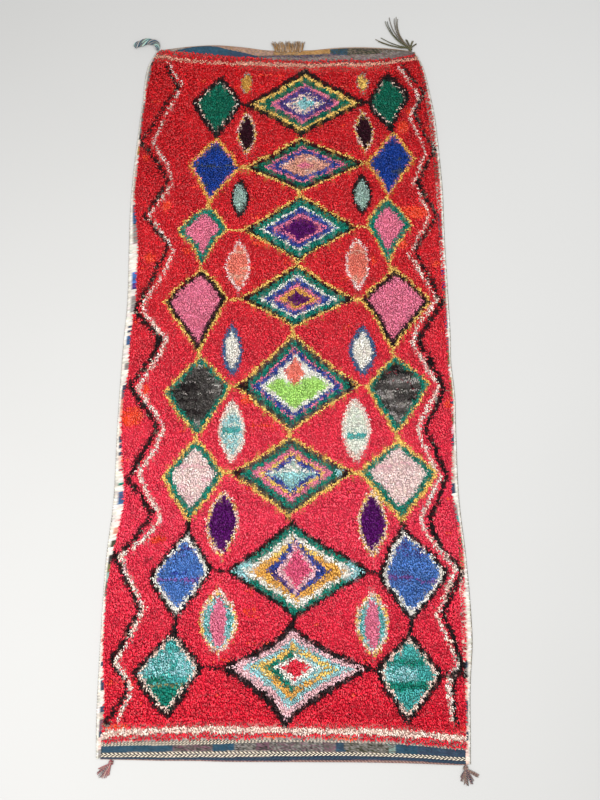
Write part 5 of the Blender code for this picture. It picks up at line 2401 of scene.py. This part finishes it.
NEAR_LEFT: Rows = (
    (13, 0.028, 8), (25, 0.038, 4), (36, 0.046, 4), (47, 0.050, 2), (58, 0.046, 4), (69, 0.036, 8),
)
NEAR_RIGHT: Rows = (
    (-72, 0.038, -14), (-56, 0.034, 6), (-34, 0.036, -6), (-20, 0.041, 4), (-6, 0.040, -4),
    (8, 0.036, 4), (22, 0.031, -2), (38, 0.021, 10),
)
FAR_RIGHT: Rows = (
    (-84, 0.150, -24), (-57, 0.192, -46), (-47, 0.176, -52), (-12, 0.044, 12), (14, 0.036, -8),
    (40, 0.030, -14),
)
LEFT_BLOCKS = (
    (1.34, Dye.GREY), (1.32, Dye.CHARCOAL), (1.25, Dye.GREY), (1.20, Dye.ROSE_BEIGE), (1.14, Dye.WHITE),
    (0.985, Dye.GREY), (0.960, Dye.CHARCOAL), (0.925, Dye.CREAM), (0.885, Dye.GOLD), (0.84, Dye.WHITE),
    (0.658, Dye.BEIGE), (0.620, Dye.MAUVE), (0.570, Dye.STEEL_BLUE), (0.480, Dye.GREY), (0.356, Dye.WHITE),
    (0.312, Dye.SKY_BLUE), (0.285, Dye.VIOLET), (0.256, Dye.WHITE), (0.188, Dye.GREY), (0.130, Dye.WHITE),
    (0.122, Dye.NAVY), (0.112, Dye.WHITE), (0.104, Dye.NAVY), (0.090, Dye.WHITE), (0.056, Dye.STEEL_BLUE),
    (-0.020, Dye.WHITE), (-0.045, Dye.GREY), (-0.108, Dye.WHITE), (-0.132, Dye.NAVY), (-0.160, Dye.MAUVE),
    (-0.230, Dye.PEACH), (-0.304, Dye.CREAM), (-0.325, Dye.NAVY), (-0.336, Dye.WHITE), (-0.351, Dye.NAVY),
    (-0.363, Dye.WHITE), (-0.379, Dye.NAVY), (-0.426, Dye.CREAM), (-0.434, Dye.NAVY), (-0.477, Dye.WHITE),
    (-0.486, Dye.TEAL_GREEN), (-0.513, Dye.WHITE), (-0.559, Dye.STEEL_BLUE), (-0.640, Dye.WHITE),
    (-0.662, Dye.PEACH), (-0.687, Dye.WHITE), (-0.709, Dye.DARK_OLIVE), (-0.738, Dye.WHITE),
    (-0.770, Dye.CHARCOAL), (-0.795, Dye.OLIVE), (-0.830, Dye.SAGE), (-0.880, Dye.TAUPE),
    (-0.990, Dye.WHITE),
    (-1.094, Dye.CREAM), (-1.108, Dye.NAVY), (-1.156, Dye.WHITE), (-1.185, Dye.NAVY), (-1.236, Dye.WHITE),
    (-1.256, Dye.NAVY), (-1.280, Dye.BEIGE), (-1.313, Dye.MAUVE), (-1.334, Dye.NAVY), (-1.370, Dye.CREAM),
    (-1.450, Dye.GREY),
)
RIGHT_BLOCKS = (
    (1.24, Dye.TAUPE), (1.19, Dye.CHARCOAL), (0.90, Dye.BEIGE), (0.76, Dye.TAUPE), (0.62, Dye.CREAM),
    (0.560, Dye.MAUVE), (0.530, Dye.GREY), (0.500, Dye.SLATE), (0.366, Dye.WHITE), (0.345, Dye.BLUE),
    (0.316, Dye.GREY), (0.284, Dye.BLUE), (0.205, Dye.TAUPE), (0.160, Dye.MAUVE), (0.120, Dye.STEEL_BLUE),
    (0.085, Dye.WHITE), (0.028, Dye.MAUVE), (-0.025, Dye.OLIVE), (-0.080, Dye.WHITE), (-0.165, Dye.TAN),
    (-0.182, Dye.STEEL_BLUE), (-0.225, Dye.CREAM), (-0.262, Dye.OLIVE), (-0.300, Dye.PALE_PINK),
    (-0.345, Dye.SLATE), (-0.480, Dye.BEIGE), (-0.518, Dye.NAVY), (-0.560, Dye.WHITE), (-0.600, Dye.GREY),
    (-0.618, Dye.TEAL), (-0.640, Dye.PEPPER), (-0.675, Dye.PEACH), (-0.720, Dye.OLIVE), (-0.790, Dye.TAN),
    (-1.096, Dye.CREAM), (-1.116, Dye.NAVY), (-1.150, Dye.GREY), (-1.222, Dye.CREAM), (-1.255, Dye.NAVY),
    (-1.300, Dye.GREY), (-1.320, Dye.CREAM), (-1.345, Dye.NAVY), (-1.450, Dye.CREAM),
)


def main() -> None:
    """Builds and dresses the rug, and sets the stage."""
    logging.basicConfig(level=logging.INFO, format="%(name)s: %(message)s")
    Studio().build()
    shape = ClothShape()
    near_band, far_band = NearBand(), FarBand()
    ground = GroundWeave(shape, near_band, far_band).build()
    with_it = KnottedPile(shape).build()
    with_it += TwinedRows(shape, near_band, far_band).build()
    with_it.append(Selvedge(shape, -1, LEFT_BLOCKS, (Dye.GREY, Dye.WHITE)).build())
    with_it.append(Selvedge(shape, 1, RIGHT_BLOCKS, (Dye.OLIVE, Dye.TAUPE)).build())
    rose = (Dye.ROSE, Dye.ROSE_BEIGE, Dye.ROSE, Dye.BEIGE, Dye.NAVY)
    brown = (Dye.TAUPE, Dye.ROSE_BEIGE, Dye.TAUPE, Dye.MAUVE, Dye.NAVY)
    olive = (Dye.DARK_OLIVE, Dye.OLIVE, Dye.DARK_OLIVE, Dye.TAUPE)
    CornerTassel(shape, "tassel_near_left", -0.574, False, NEAR_LEFT, rose, "corner_yarn").build()
    CornerTassel(shape, "tassel_near_right", 0.604, False, NEAR_RIGHT, brown, "corner_yarn").build()
    CornerTassel(
        shape, "tassel_far_right", 0.542, True, FAR_RIGHT, olive, "grey_yarn", yarn_radius=0.0029
    ).build()
    TwistedBunch().build()
    WarpTuft(shape).build()


if __name__ == "__main__":
    main()
